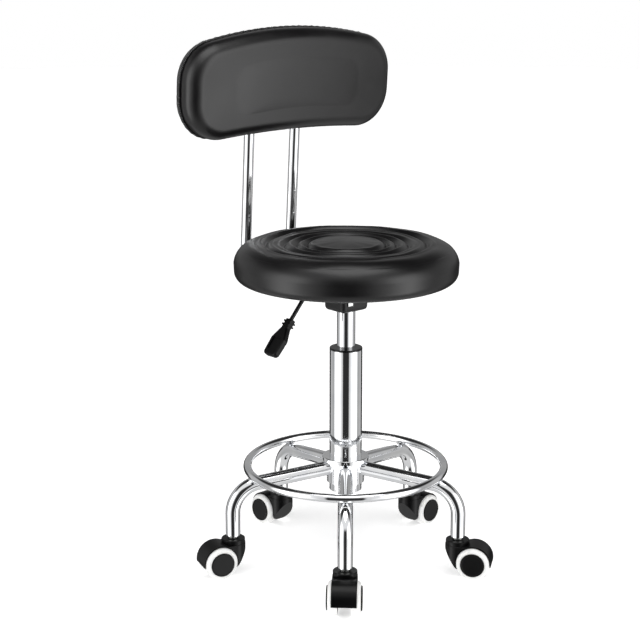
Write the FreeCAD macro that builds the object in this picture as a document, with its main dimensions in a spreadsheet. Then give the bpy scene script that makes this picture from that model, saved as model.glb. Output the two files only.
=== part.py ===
import FreeCAD, Part
import math
import os
import re

import Sketcher

# Rolling stylist stool: round swivelling seat on a gas lift, small back pad on a bent tube,
# five legged base with a foot ring and twin wheel casters.
# Millimetres, +Z up, origin on the floor under the column. The sitter faces -Y, the back pad is at +Y.

SIZES = {
    # gas lift column
    "column_radius": 25.0, "column_wall": 2.0, "column_below": 38.8, "column_length": 223.0,
    "column_floor": 3.0, "bush_length": 79.0, "bush_lip": 3.0, "press_gap": 0.02, "running_gap": 0.06,
    "rod_radius": 5.0, "rod_foot": 6.5, "rod_shoulder_radius": 9.0, "rod_shoulder_height": 3.0,
    "rod_reach": 150.0, "piston_height": 16.0, "piston_gap": 0.1, "clip_height": 1.4,
    "clip_radius": 9.0, "washer_radius": 14.0, "washer_height": 1.5, "ball_radius": 2.0,
    "ball_circle": 10.0, "rest_gap": 0.2,
    "lift_radius": 14.0, "lift_wall": 2.5, "lift_clear": 64.0, "lift_gland": 12.0, "lift_head": 39.0,
    "lift_length": 242.0, "taper_depth": 19.0, "taper_fall": 0.7, "valve_radius": 3.0,
    "valve_length": 38.0,
    # hub, legs and foot ring
    "hub_radius": 29.0, "hub_below": 25.8, "hub_above": 15.2, "flange_radius": 36.0,
    "flange_height": 6.0, "flange_slope": 1.3, "leg_radius": 11.0, "leg_wall": 1.5,
    "leg_straight": 32.13, "leg_slope": 6.5, "leg_bend_radius": 45.0, "leg_turn": -131.3,
    "stem_circle": 180.0, "ring_inset": 28.5, "ring_tube_radius": 6.2, "weld_gap": 0.05,
    # casters
    "plug_length": 28.0, "plug_lip": 2.0, "stem_radius": 5.5, "stem_depth": 15.0, "neck_radius": 8.5,
    "neck_height": 7.0, "wheel_radius": 25.0, "trail_length": 26.0, "tread_inner": 9.5,
    "tread_outer": 20.0, "wall_outer": 24.0, "tyre_height": 5.5, "ring_height": 6.7,
    "cap_outer": 26.2, "cap_dish": 0.5, "axle_radius": 4.0, "axle_half": 22.0,
    "hood_half_width": 18.6, "hood_wall": 1.7, "wheel_gap": 0.8, "hood_drop": 3.5,
    "front_rise": 18.0, "front_wall": 2.5, "tongue_drop": 15.0, "tongue_round": 13.0,
    "web_half": 9.0, "web_drop": 9.5, "collar_radius": 18.0, "collar_rise": 7.0, "hood_round": 1.2,
    "edge_round": 1.0, "cut_past": 1.0, "bore_spare": 0.5, "screw_gap": 0.2,
    "washer_gap": 1.0, "valve_chamfer": 0.6, "hub_round": 1.5, "plug_inset": 0.2, "neck_gap": 0.6,
    "neck_round": 0.8, "stem_short": 2.0, "collar_sink": 0.5, "axle_chamfer": 0.5,
    "axle_end_gap": 0.4, "tyre_side_gap": 0.3, "tread_round": 1.5, "wall_fall": 3.6,
    "wall_round": 5.2, "cap_gap": 0.25, "cap_sink": 2.5, "cap_rest": 0.1, "cap_round": 1.2,
    "cap_rim": 2.2, "cap_dish_edge": 2.8,
    "caster_turn_one": -2.0, "caster_turn_two": 6.4, "caster_turn_three": -5.6,
    "caster_turn_four": 8.1, "caster_turn_five": 7.0,
    # mechanism and lever
    "box_half_width": 26.0, "box_half_depth": 23.0, "box_drop": 21.8, "box_wall": 2.5,
    "box_round": 7.0, "plate_half_width": 60.0, "plate_front": -60.0, "plate_back": 110.0,
    "plate_height": 2.5, "board_rise": 25.5, "socket_radius": 17.0,
    "lever_rise": 8.5, "lever_radius": 3.0, "lever_inner": 4.0, "lever_reach": 83.0,
    "lever_bend": 50.0, "lever_bend_radius": 14.0, "lever_neck": 38.0, "pivot_offset": -14.0,
    "pivot_radius": 2.5, "pivot_boss_radius": 5.5, "pivot_boss_half": 9.0, "pivot_head_radius": 4.0,
    "handle_length": 62.0, "handle_neck_half": 6.5, "handle_neck_length": 15.0,
    "handle_half_width": 15.0, "handle_end_half": 13.0, "handle_height": 10.0, "handle_round": 2.5,
    "handle_grip": 30.0,
    "handle_widening": 19.0, "handle_corner": 6.0, "handle_flare": 1.0, "handle_corner_round": 6.2,
    "panel_length": 20.0, "panel_half_width": 9.0, "panel_depth": 1.5, "panel_lead": 1.0,
    "rib_start": 3.5, "rib_pitch": 5.5, "rib_width": 2.4, "rib_height": 0.9,
    "lift_hole_gap": 0.3, "slot_half_width": 4.0, "slot_height": 12.0, "slot_below": 4.5,
    "pivot_head_height": 1.2, "bolt_round": 0.7,
    "bolt_offset": -12.7, "bolt_rise": 15.8, "bolt_head": 9.5, "bolt_head_depth": 2.2,
    # seat
    "board_inset": 13.0, "board_height": 12.0, "seat_radius": 170.0, "seat_thickness": 56.5,
    "seat_edge_top": 28.0, "seat_edge_bottom": 12.0, "cover_wall": 1.4, "cover_gap": 0.1,
    "wrap_width": 18.0, "screw_radius": 2.5, "screw_head_radius": 4.5, "screw_head_height": 3.0,
    "screw_length": 8.0, "screw_front": 50.0, "screw_back": 38.0, "screw_side": 52.0,
    # back tube and pad
    "tube_radius": 8.0, "tube_wall": 1.5, "tube_half_spacing": 45.0, "tube_seat_gap": 7.0,
    "tube_lean": 3.7, "tube_lean_rise": 4.0, "tube_bend_radius": 30.0, "tube_turn_back": 80.0,
    "tube_above_pad": 14.0, "notch_rise": 16.0, "notch_pitch": 7.0, "notch_depth": 0.4,
    "notch_height": 1.2, "clamp_wall": 3.0, "clamp_half_width": 8.0, "clamp_place": 97.0,
    "clamp_ear": 13.0, "clamp_screw_side": 18.0,
    "pad_rise": 232.0, "pad_depth": 50.0, "pad_half_width": 196.0, "pad_top": 80.5,
    "pad_top_radius": 740.0, "pad_corner": 60.0, "pad_low_corner": 60.0, "pad_low_centre": -20.0,
    "pad_low_middle": -74.0, "pad_front_round": 20.0, "pad_back_round": 10.0, "pad_board_inset": 12.0,
    "pad_board_height": 8.0, "pad_clamp_drop": 12.0,
}

# Lengths that follow from the sizes, so that the stool stays together when one of them changes:
# each part stands on the one below it.
FOLLOWING = {
    "rim_radius": "wheel_radius - tyre_height",
    "cap_radius": "wheel_radius - ring_height",
    "hood_roof": "2 * wheel_radius",
    "hood_end_height": "wheel_radius - hood_drop",
    "hood_front_height": "wheel_radius + front_rise",
    "tongue_height": "wheel_radius - tongue_drop",
    "web_bottom": "wheel_radius - web_drop",
    "collar_top": "hood_roof + collar_rise",
    "stem_bottom": "hood_roof - stem_depth",
    "leg_end_height": "collar_top + neck_height",
    "leg_tangent": "leg_bend_radius * tan((90 - leg_slope) / 2)",
    "leg_axis_height": "leg_end_height + leg_straight + leg_tangent + stem_circle * tan(leg_slope)",
    "ring_radius": "stem_circle - ring_inset",
    "hub_bottom": "leg_axis_height - hub_below",
    "hub_top": "leg_axis_height + hub_above",
    "column_bottom": "leg_axis_height - column_below",
    "column_top": "column_bottom + column_length",
    "rod_bottom": "column_bottom - rod_foot",
    "piston_bottom": "column_bottom + rod_reach",
    "piston_radius": "lift_radius - lift_wall - piston_gap",
    "lift_bottom": "column_bottom + lift_clear",
    "lift_top": "lift_bottom + lift_length",
    "box_bottom": "lift_top - box_drop",
    "bolt_height": "box_bottom + bolt_rise",
    "lever_height": "lift_top + lever_rise",
    "board_bottom": "lift_top + board_rise",
    "board_radius": "seat_radius - board_inset",
    "seat_top": "board_bottom + seat_thickness",
    "tube_back": "seat_radius + tube_radius + tube_seat_gap",
    "tube_lean_height": "seat_top + tube_lean_rise",
    "notch_first": "seat_top + notch_rise",
    "pad_height": "seat_top + pad_rise",
    "tube_top": "pad_height + tube_above_pad",
}

LEGS = 5
BALLS = 8
NOTCHES = 6
NOTCH_SIDE = 0.6
TOUCHING = 0.01
CASTER_TURNS = ("one", "two", "three", "four", "five")

doc = FreeCAD.newDocument("stylist_stool")
sheet = doc.addObject("Spreadsheet::Sheet", "Sizes")
for row, (alias, number) in enumerate(SIZES.items(), start=1):
    sheet.set("A%d" % row, alias)
    sheet.set("B%d" % row, str(number))
    sheet.setAlias("B%d" % row, alias)
doc.recompute()

Vector = FreeCAD.Vector
Rotation = FreeCAD.Rotation
Placement = FreeCAD.Placement
X_AXIS = Vector(1, 0, 0)
Y_AXIS = Vector(0, 1, 0)
Z_AXIS = Vector(0, 0, 1)
subparts = []


# ---------------------------------------------------------------- helpers

def cells(text):
    """The expression with following lengths written out and every size name as a cell."""
    def written(found):
        name = found.group(0)
        return "(%s)" % cells(FOLLOWING[name]) if name in FOLLOWING else "Sizes." + name
    return re.sub(r"\b[a-z]+(?:_[a-z]+)+\b", written, text)


def value(text):
    """The number that an expression of size names gives now."""
    result = sheet.evalExpression(cells(text))
    return float(getattr(result, "Value", result))


def bind(thing, **expressions):
    for name, text in expressions.items():
        thing.setExpression(name, cells(text))


def keep(thing, label, placement=None):
    """Lists a finished sub-part under its name."""
    thing.Label = label
    if placement is not None:
        thing.Placement = placement
    subparts.append(thing)
    return thing


def new_body(name):
    return doc.addObject("PartDesign::Body", name)


def sketch_on(body, plane, name, lift="0"):
    """A sketch on one of the body's own origin planes, lifted off it by an expression."""
    sketch = body.newObject("Sketcher::SketchObject", name)
    for feature in body.Origin.OriginFeatures:
        if feature.Role == plane:
            sketch.AttachmentSupport = [(feature, "")]
    sketch.MapMode = "FlatFace"
    sketch.setExpression("AttachmentOffset.Base.z", cells(lift))
    return sketch


def pin_point(sketch, geometry, end, x_text, y_text):
    """Ties one end of a sketch line or arc to its place."""
    for axis_line, kind, text in ((-2, "DistanceX", x_text), (-1, "DistanceY", y_text)):
        number = value(text)
        if abs(number) < 1e-9:
            sketch.addConstraint(Sketcher.Constraint("PointOnObject", geometry, end, axis_line))
            continue
        index = sketch.addConstraint(Sketcher.Constraint(kind, -1, 1, geometry, end, number))
        sketch.setExpression("Constraints[%d]" % index, cells(text))


def draw(sketch, points, closed=True):
    """A line through the points. A point (x, y, radius, side) is reached by an arc:
    side "out" bulges to the right of the way it is drawn, "in" to the left."""
    count = len(points) if closed else len(points) - 1
    ends = []
    for index in range(count):
        start = points[index]
        stop = points[(index + 1) % len(points)]
        a = Vector(value(start[0]), value(start[1]), 0)
        b = Vector(value(stop[0]), value(stop[1]), 0)
        if len(stop) == 2:
            geometry = sketch.addGeometry(Part.LineSegment(a, b), False)
            ends.append((geometry, 1, 2))
            continue
        radius = value(stop[2])
        across = b - a
        rise = math.sqrt(max(radius ** 2 - (across.Length / 2) ** 2, 0.0))
        left = Vector(-across.y, across.x, 0).normalize()
        outward = stop[3] == "out"
        centre = (a + b) / 2 + left * (rise if outward else -rise)
        angle_a = math.atan2(a.y - centre.y, a.x - centre.x)
        angle_b = math.atan2(b.y - centre.y, b.x - centre.x)
        circle = Part.Circle(centre, Z_AXIS, radius)
        first, last = (angle_a, angle_b) if outward else (angle_b, angle_a)
        geometry = sketch.addGeometry(Part.ArcOfCircle(circle, first, last), False)
        ends.append((geometry, 1, 2) if outward else (geometry, 2, 1))
        index_r = sketch.addConstraint(Sketcher.Constraint("Radius", geometry, radius))
        sketch.setExpression("Constraints[%d]" % index_r, cells(stop[2]))
    for index, (geometry, first, last) in enumerate(ends):
        pin_point(sketch, geometry, first, points[index][0], points[index][1])
        if closed or index + 1 < count:
            follower = ends[(index + 1) % len(ends)]
            sketch.addConstraint(
                Sketcher.Constraint("Coincident", geometry, last, follower[0], follower[1]))
    if not closed:
        pin_point(sketch, ends[-1][0], ends[-1][2], points[-1][0], points[-1][1])


def draw_circle(sketch, radius, x_text="0", y_text="0"):
    centre = Vector(value(x_text), value(y_text), 0)
    geometry = sketch.addGeometry(Part.Circle(centre, Z_AXIS, value(radius)), False)
    pin_point(sketch, geometry, 3, x_text, y_text)
    index = sketch.addConstraint(Sketcher.Constraint("Radius", geometry, value(radius)))
    sketch.setExpression("Constraints[%d]" % index, cells(radius))


def turned(name, points):
    """A body turned about the vertical axis from (radius, height) points."""
    body = new_body(name)
    sketch = sketch_on(body, "XZ_Plane", name + "_profile")
    draw(sketch, points)
    turn = body.newObject("PartDesign::Revolution", name + "_turn")
    turn.Profile = sketch
    turn.ReferenceAxis = (sketch, ["V_Axis"])
    turn.Angle = 360
    sketch.Visibility = False
    return body


def padded(name, plane, points, length, lift="0", both_ways=False):
    """A body raised from an outline on one of its planes."""
    body = new_body(name)
    sketch = sketch_on(body, plane, name + "_outline", lift)
    draw(sketch, points)
    pad = body.newObject("PartDesign::Pad", name + "_pad")
    pad.Profile = sketch
    pad.Midplane = both_ways
    bind(pad, Length=length)
    return body


def swept(name, path, radius, bore, start):
    """A round tube along a path drawn in the XZ plane, which starts along X at start."""
    body = new_body(name)
    ring = sketch_on(body, "YZ_Plane", name + "_section", start)
    draw_circle(ring, radius, "0", path[0][1])
    if bore:
        draw_circle(ring, bore, "0", path[0][1])
    spine = sketch_on(body, "XZ_Plane", name + "_path")
    draw(spine, path, closed=False)
    doc.recompute()
    pipe = body.newObject("PartDesign::AdditivePipe", name + "_pipe")
    pipe.Profile = ring
    pipe.Spine = spine
    pipe.Transition = "Transformed"
    return body


def round_edges(body, radius, wanted, name="round"):
    """Rounds the edges of the body's last feature whose middle point passes the test."""
    doc.recompute()
    base = body.Tip
    named = []
    for index, edge in enumerate(base.Shape.Edges, start=1):
        middle = edge.valueAt((edge.FirstParameter + edge.LastParameter) / 2)
        if wanted(middle):
            named.append("Edge%d" % index)
    fillet = body.newObject("PartDesign::Fillet", body.Name + "_" + name)
    fillet.Base = (base, named)
    bind(fillet, Radius=radius)
    return fillet


def shave(body, plane, label, points, reach):
    """Cuts an outline drawn on an origin plane out of a body, both ways, up to a reach."""
    sketch = sketch_on(body, plane, body.Name + "_" + label + "_outline")
    draw(sketch, points)
    cut = body.newObject("PartDesign::Pocket", body.Name + "_" + label)
    cut.Profile = sketch
    cut.Midplane = True
    bind(cut, Length="2 * (%s)" % reach)
    return cut


def drill(body, radius, height, placement, name):
    """Cuts a cylinder out of a body. The placement is in the body's own frame."""
    cut = body.newObject("PartDesign::SubtractiveCylinder", body.Name + "_" + name)
    bind(cut, Radius=radius, Height=height)
    cut.Placement = placement
    return cut


def add_round(body, radius, height, placement, name):
    boss = body.newObject("PartDesign::AdditiveCylinder", body.Name + "_" + name)
    bind(boss, Radius=radius, Height=height)
    boss.Placement = placement
    return boss


def add_box(body, size, corner, name, cut=False, turn=0.0):
    """Adds or cuts a box of (length, width, height) from its lowest corner in the body's frame."""
    kind = "PartDesign::SubtractiveBox" if cut else "PartDesign::AdditiveBox"
    box = body.newObject(kind, body.Name + "_" + name)
    bind(box, Length=size[0], Width=size[1], Height=size[2])
    box.Placement = Placement(Vector(*[value(text) for text in corner]), Rotation(Z_AXIS, turn))
    return box


def group(label, members):
    """Several separate solids of one kind, kept as one sub-part."""
    compound = doc.addObject("Part::Compound", label)
    compound.Links = members
    return keep(compound, label)


def leg_angle(number):
    return value("leg_turn") + 360.0 / LEGS * (number - 1)


def stem_placement(number, height=0.0, trim=0.0):
    """On the stem circle over caster number, with X pointing outwards plus the trim angle."""
    angle = math.radians(leg_angle(number))
    reach = value("stem_circle")
    base = Vector(reach * math.cos(angle), reach * math.sin(angle), height)
    return Placement(base, Rotation(Z_AXIS, leg_angle(number) + trim))


# ---------------------------------------------------------------- column and lift

def column_tube():
    bore = "column_radius - column_wall"
    hole = "rod_radius + running_gap"
    return keep(turned("column_tube", [
        (hole, "column_bottom"),
        ("column_radius", "column_bottom"),
        ("column_radius", "column_top"),
        (bore, "column_top"),
        (bore, "column_bottom + column_floor"),
        (hole, "column_bottom + column_floor"),
    ]), "column_tube")


def guide_bush():
    outside = "column_radius - column_wall - press_gap"
    inside = "lift_radius + running_gap"
    return keep(turned("column_guide_bush", [
        (inside, "column_top - bush_length"),
        (outside, "column_top - bush_length"),
        (outside, "column_top"),
        ("column_radius", "column_top"),
        ("column_radius", "column_top + bush_lip - edge_round"),
        ("column_radius - edge_round", "column_top + bush_lip", "edge_round", "out"),
        (inside, "column_top + bush_lip"),
    ]), "column_guide_bush")


def thrust_bearing():
    """Two washers with a ring of balls between them, on the floor of the column tube."""
    floor = "column_bottom + column_floor"
    inner = "rod_radius + washer_gap"
    washers = []
    for name, low in (("lower", floor), ("upper", floor + " + washer_height + 2 * ball_radius")):
        washers.append(turned("washer_" + name, [
            (inner, low),
            ("washer_radius", low),
            ("washer_radius", low + " + washer_height"),
            (inner, low + " + washer_height"),
        ]))
    balls = []
    reach = value("ball_circle")
    height = value(floor + " + washer_height + ball_radius")
    for index in range(BALLS):
        angle = 2 * math.pi * index / BALLS
        ball = doc.addObject("Part::Sphere", "ball_%d" % (index + 1))
        bind(ball, Radius="ball_radius - press_gap")
        ball.Placement.Base = Vector(reach * math.cos(angle), reach * math.sin(angle), height)
        balls.append(ball)
    return group("thrust_bearing", washers + balls)


def lift_rod():
    """Piston rod with its shoulder on the thrust bearing and the piston at its top."""
    shoulder = "column_bottom + column_floor + 2 * washer_height + 2 * ball_radius + rest_gap"
    return keep(turned("lift_rod", [
        ("0", "rod_bottom"),
        ("rod_radius", "rod_bottom"),
        ("rod_radius", shoulder),
        ("rod_shoulder_radius", shoulder),
        ("rod_shoulder_radius", shoulder + " + rod_shoulder_height"),
        ("rod_radius", shoulder + " + rod_shoulder_height"),
        ("rod_radius", "piston_bottom"),
        ("piston_radius", "piston_bottom"),
        ("piston_radius", "piston_bottom + piston_height"),
        ("0", "piston_bottom + piston_height"),
    ]), "lift_rod")


def rod_clip():
    top = "column_bottom - rest_gap"
    inside = "rod_radius + press_gap"
    return keep(turned("rod_clip", [
        (inside, top + " - clip_height"),
        ("clip_radius", top + " - clip_height"),
        ("clip_radius", top),
        (inside, top),
    ]), "rod_clip")


def lift_cylinder():
    """Pressure cylinder: gland at the foot, tapered head that seats in the mechanism."""
    gland = "rod_radius + running_gap"
    inside = "lift_radius - lift_wall"
    valve = "valve_radius + running_gap"
    return keep(turned("lift_cylinder", [
        (gland, "lift_bottom"),
        ("lift_radius", "lift_bottom"),
        ("lift_radius", "lift_top - taper_depth"),
        ("lift_radius - taper_fall", "lift_top"),
        (valve, "lift_top"),
        (valve, "lift_top - lift_head"),
        (inside, "lift_top - lift_head"),
        (inside, "lift_bottom + lift_gland"),
        (gland, "lift_bottom + lift_gland"),
    ]), "lift_cylinder")


def valve_pin():
    top = "lever_height - lever_radius - rest_gap"
    return keep(turned("valve_pin", [
        ("0", top + " - valve_length"),
        ("valve_radius", top + " - valve_length"),
        ("valve_radius", top + " - valve_chamfer"),
        ("valve_radius - valve_chamfer", top),
        ("0", top),
    ]), "valve_pin")


# ---------------------------------------------------------------- hub, legs, foot ring

def hub():
    inside = "column_radius + press_gap"
    flange = "hub_top - flange_height"
    return keep(turned("hub", [
        (inside, "hub_bottom"),
        ("hub_radius", "hub_bottom"),
        ("hub_radius", flange + " - flange_slope"),
        ("flange_radius", flange),
        ("flange_radius", "hub_top - hub_round"),
        ("flange_radius - hub_round", "hub_top", "hub_round", "out"),
        (inside, "hub_top"),
    ]), "hub")


LEG_CORNER = "(stem_circle / cos(leg_slope))"
LEG_CORNER_HEIGHT = "(leg_axis_height - stem_circle * tan(leg_slope))"
LEG_DROP = "(%s - leg_end_height)" % LEG_CORNER_HEIGHT


def leg(number):
    """Round tube: slopes down from the hub, then bends down to the caster.
    Drawn with its first run along X from the column axis, and tilted by the slope when placed."""
    name = "leg_%d" % number
    start = "(hub_radius - leg_radius)"
    path = [
        (start, "0"),
        (LEG_CORNER + " - leg_tangent", "0"),
        (LEG_CORNER + " + leg_tangent * sin(leg_slope)",
         "0 - leg_tangent * cos(leg_slope)", "leg_bend_radius", "in"),
        (LEG_CORNER + " + " + LEG_DROP + " * sin(leg_slope)",
         "0 - " + LEG_DROP + " * cos(leg_slope)"),
    ]
    body = swept(name, path, "leg_radius", "leg_radius - leg_wall", start)
    slope = value("leg_slope")
    upright = Rotation(Y_AXIS, -slope)
    low = upright.multVec(Vector(0, 0, -value("hub_top")))
    drill(body, "hub_radius + weld_gap", "2 * hub_top", Placement(low, upright), "cope")
    turn = Rotation(Z_AXIS, leg_angle(number)).multiply(Rotation(Y_AXIS, slope))
    return keep(body, name, Placement(Vector(0, 0, value("leg_axis_height")), turn))


def foot_ring():
    """Round bar ring that rests on the outer bends of the legs."""
    ring = doc.addObject("Part::Torus", "foot_ring")
    bind(ring, Radius1="ring_radius", Radius2="ring_tube_radius")
    reach = "(leg_bend_radius + leg_radius + ring_tube_radius + weld_gap)"
    inset = "(ring_radius - stem_circle + leg_bend_radius)"
    height = "%s - leg_tangent + sqrt(%s ^ 2 - %s ^ 2)" % (LEG_CORNER_HEIGHT, reach, inset)
    ring.setExpression("Placement.Base.z", cells(height))
    return keep(ring, "foot_ring")


def stem_sockets():
    """Plugs in the leg ends, each with a lip and the bore for a caster stem."""
    made = []
    bore = "stem_radius + press_gap"
    plug = "leg_radius - leg_wall - press_gap"
    for number in range(1, LEGS + 1):
        socket = turned("socket_%d" % number, [
            (bore, "leg_end_height - plug_lip"),
            ("leg_radius - plug_inset", "leg_end_height - plug_lip"),
            ("leg_radius - plug_inset", "leg_end_height - press_gap"),
            (plug, "leg_end_height - press_gap"),
            (plug, "leg_end_height + plug_length"),
            (bore, "leg_end_height + plug_length"),
        ])
        socket.Placement = stem_placement(number)
        made.append(socket)
    return group("stem_sockets", made)


def caster_stems():
    """Steel pins that the casters turn on, each with a bright neck above the collar."""
    made = []
    neck_top = "leg_end_height - plug_lip - press_gap"
    for number in range(1, LEGS + 1):
        stem = turned("stem_%d" % number, [
            ("0", "stem_bottom"),
            ("stem_radius - edge_round", "stem_bottom"),
            ("stem_radius", "stem_bottom + edge_round"),
            ("stem_radius", "collar_top + neck_gap"),
            ("neck_radius - neck_round", "collar_top + neck_gap"),
            ("neck_radius", "collar_top + neck_gap + neck_round"),
            ("neck_radius", neck_top),
            ("stem_radius", neck_top),
            ("stem_radius", "leg_end_height + plug_length - stem_short"),
            ("0", "leg_end_height + plug_length - stem_short"),
        ])
        stem.Placement = stem_placement(number)
        made.append(stem)
    return group("caster_stems", made)


# ---------------------------------------------------------------- casters

HOOD_RADIUS = "(wheel_radius + wheel_gap + hood_wall)"
HOOD_REACH = "(sqrt(%s ^ 2 - hood_drop ^ 2))" % HOOD_RADIUS
ROOF_REACH = "(sqrt(%s ^ 2 - (hood_roof - wheel_radius) ^ 2))" % HOOD_RADIUS
TONGUE_REACH = "(sqrt((wheel_radius + wheel_gap) ^ 2 - tongue_drop ^ 2) + front_wall)"


def caster_hood(number, place):
    """Moulded hood over both wheels: round front that runs down to a tongue, collar, curved guard
    and a middle web. X points from the stem towards the wheels, which turn about Y."""
    name = "caster_%d_hood" % number
    body = padded(name, "XZ_Plane", [
        ("0 - hood_half_width", "hood_roof"),
        ("0 - hood_half_width", "hood_front_height"),
        ("trail_length - " + TONGUE_REACH, "tongue_height"),
        ("trail_length - web_half", "web_bottom"),
        ("trail_length + web_half", "web_bottom"),
        ("trail_length + " + HOOD_REACH, "hood_end_height"),
        ("trail_length + " + ROOF_REACH, "hood_roof", HOOD_RADIUS, "out"),
        ("trail_length", "wheel_radius + " + HOOD_RADIUS, HOOD_RADIUS, "out"),
        ("trail_length - " + ROOF_REACH, "hood_roof", HOOD_RADIUS, "out"),
    ], "2 * hood_half_width", both_ways=True)
    round_edges(body, "hood_round", on_guard_rim)
    doc.recompute()
    side = "hood_half_width"
    beyond = "(hood_half_width + 2 * cut_past)"
    shave(body, "XY_Plane", "front_round", [
        ("0 - " + beyond, "0 - " + beyond),
        ("0", "0 - " + beyond),
        ("0", "0 - " + side),
        ("0 - " + side, "0", side, "in"),
        ("0", side, side, "in"),
        ("0", beyond),
        ("0 - " + beyond, beyond),
    ], "collar_top")
    low = "(tongue_height - 2 * cut_past)"
    flat = "(hood_half_width - tongue_round)"
    shave(body, "YZ_Plane", "tongue_end", [
        ("0 - " + beyond, low),
        (beyond, low),
        (beyond, "tongue_height + tongue_round"),
        (side, "tongue_height + tongue_round"),
        (flat, "tongue_height", "tongue_round", "in"),
        ("0 - " + flat, "tongue_height"),
        ("0 - " + side, "tongue_height + tongue_round", "tongue_round", "in"),
        ("0 - " + beyond, "tongue_height + tongue_round"),
    ], "trail_length - web_half")
    doc.recompute()
    pocket_depth = "hood_half_width - tread_inner + wheel_gap"
    for side in (-1, 1):
        base = Vector(value("trail_length"), side * value("tread_inner - wheel_gap"),
                      value("wheel_radius"))
        drill(body, "wheel_radius + wheel_gap", pocket_depth + " + cut_past",
              Placement(base, Rotation(X_AXIS, -90.0 * side)), "pocket_%d" % (side + 2))
    roof = value("hood_roof - collar_sink")
    add_round(body, "collar_radius", "collar_top - hood_roof + collar_sink",
              Placement(Vector(0, 0, roof), Rotation()), "collar")
    round_edges(body, "edge_round", on_collar_top, "collar_round")
    drill(body, "stem_radius + running_gap", "collar_top - stem_bottom + 2 * cut_past",
          Placement(Vector(0, 0, value("stem_bottom - cut_past")), Rotation()), "stem_bore")
    axle_base = Vector(value("trail_length"), value("hood_half_width"), value("wheel_radius"))
    drill(body, "axle_radius + press_gap", "2 * hood_half_width",
          Placement(axle_base, Rotation(X_AXIS, 90)), "axle_bore")
    return keep(body, name, place)


def on_guard_rim(middle):
    """Edges on the two side faces of the hood, above the web."""
    on_side = abs(abs(middle.y) - value("hood_half_width")) < TOUCHING
    return on_side and middle.z > value("hood_end_height + cut_past")


def on_collar_top(middle):
    return abs(middle.z - value("collar_top")) < TOUCHING


def caster_axle(number, place):
    name = "caster_%d_axle" % number
    body = turned(name, [
        ("0", "0 - axle_half"),
        ("axle_radius - axle_chamfer", "0 - axle_half"),
        ("axle_radius", "axle_chamfer - axle_half"),
        ("axle_radius", "axle_half - axle_chamfer"),
        ("axle_radius - axle_chamfer", "axle_half"),
        ("0", "axle_half"),
    ])
    local = Placement(Vector(value("trail_length"), 0, value("wheel_radius")), Rotation(X_AXIS, -90))
    return keep(body, name, place.multiply(local))


def wheel_placement(place, side):
    """Z of a turned wheel points outwards along the axle."""
    base = Vector(value("trail_length"), 0, value("wheel_radius"))
    return place.multiply(Placement(base, Rotation(X_AXIS, -90.0 * side)))


def wheel_tyre(number, side_name, place):
    name = "caster_%d_%s_tyre" % (number, side_name)
    body = turned(name, [
        ("rim_radius", "tread_inner + tyre_side_gap"),
        ("wheel_radius - tread_round", "tread_inner"),
        ("wheel_radius", "tread_inner + tread_round", "tread_round", "out"),
        ("wheel_radius", "tread_outer"),
        ("wheel_radius - wall_fall", "wall_outer", "wall_round", "out"),
        ("cap_radius + cap_gap", "wall_outer"),
        ("cap_radius + cap_gap", "wall_outer - cap_sink"),
        ("rim_radius", "wall_outer - cap_sink"),
    ])
    return keep(body, name, place)


def wheel_hub(number, side_name, place):
    """Wheel core with a blind axle bore and the round cap that covers its face."""
    name = "caster_%d_%s_hub" % (number, side_name)
    bore = "axle_radius + running_gap"
    body = turned(name, [
        (bore, "tread_inner + tyre_side_gap"),
        ("rim_radius - press_gap", "tread_inner + tyre_side_gap"),
        ("rim_radius - press_gap", "wall_outer - cap_sink - cap_rest"),
        ("cap_radius", "wall_outer - cap_sink - cap_rest"),
        ("cap_radius", "cap_outer - cap_round"),
        ("cap_radius - cap_round", "cap_outer", "cap_round", "out"),
        ("cap_radius - cap_rim", "cap_outer"),
        ("cap_radius - cap_dish_edge", "cap_outer - cap_dish"),
        ("0", "cap_outer - cap_dish"),
        ("0", "axle_half + axle_end_gap"),
        (bore, "axle_half + axle_end_gap"),
    ])
    return keep(body, name, place)


def casters():
    for number in range(1, LEGS + 1):
        trim = value("caster_turn_" + CASTER_TURNS[number - 1])
        place = stem_placement(number, trim=trim)
        caster_hood(number, place)
        caster_axle(number, place)
        for side, side_name in ((1, "left"), (-1, "right")):
            spin = wheel_placement(place, side)
            wheel_tyre(number, side_name, spin)
            wheel_hub(number, side_name, spin)


# ---------------------------------------------------------------- mechanism and lever

PLATE_BOTTOM = "(board_bottom - plate_height)"
PLATE_SCREWS = (
    ("0 - screw_side", "0 - screw_front"), ("screw_side", "0 - screw_front"),
    ("0 - screw_side", "screw_back"), ("screw_side", "screw_back"),
)
CLAMP_SCREWS = (("0 - clamp_screw_side", "clamp_place"), ("clamp_screw_side", "clamp_place"))


def rectangle(half_x, low_y, high_y):
    return [("0 - " + half_x, low_y), (half_x, low_y), (half_x, high_y), ("0 - " + half_x, high_y)]


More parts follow.
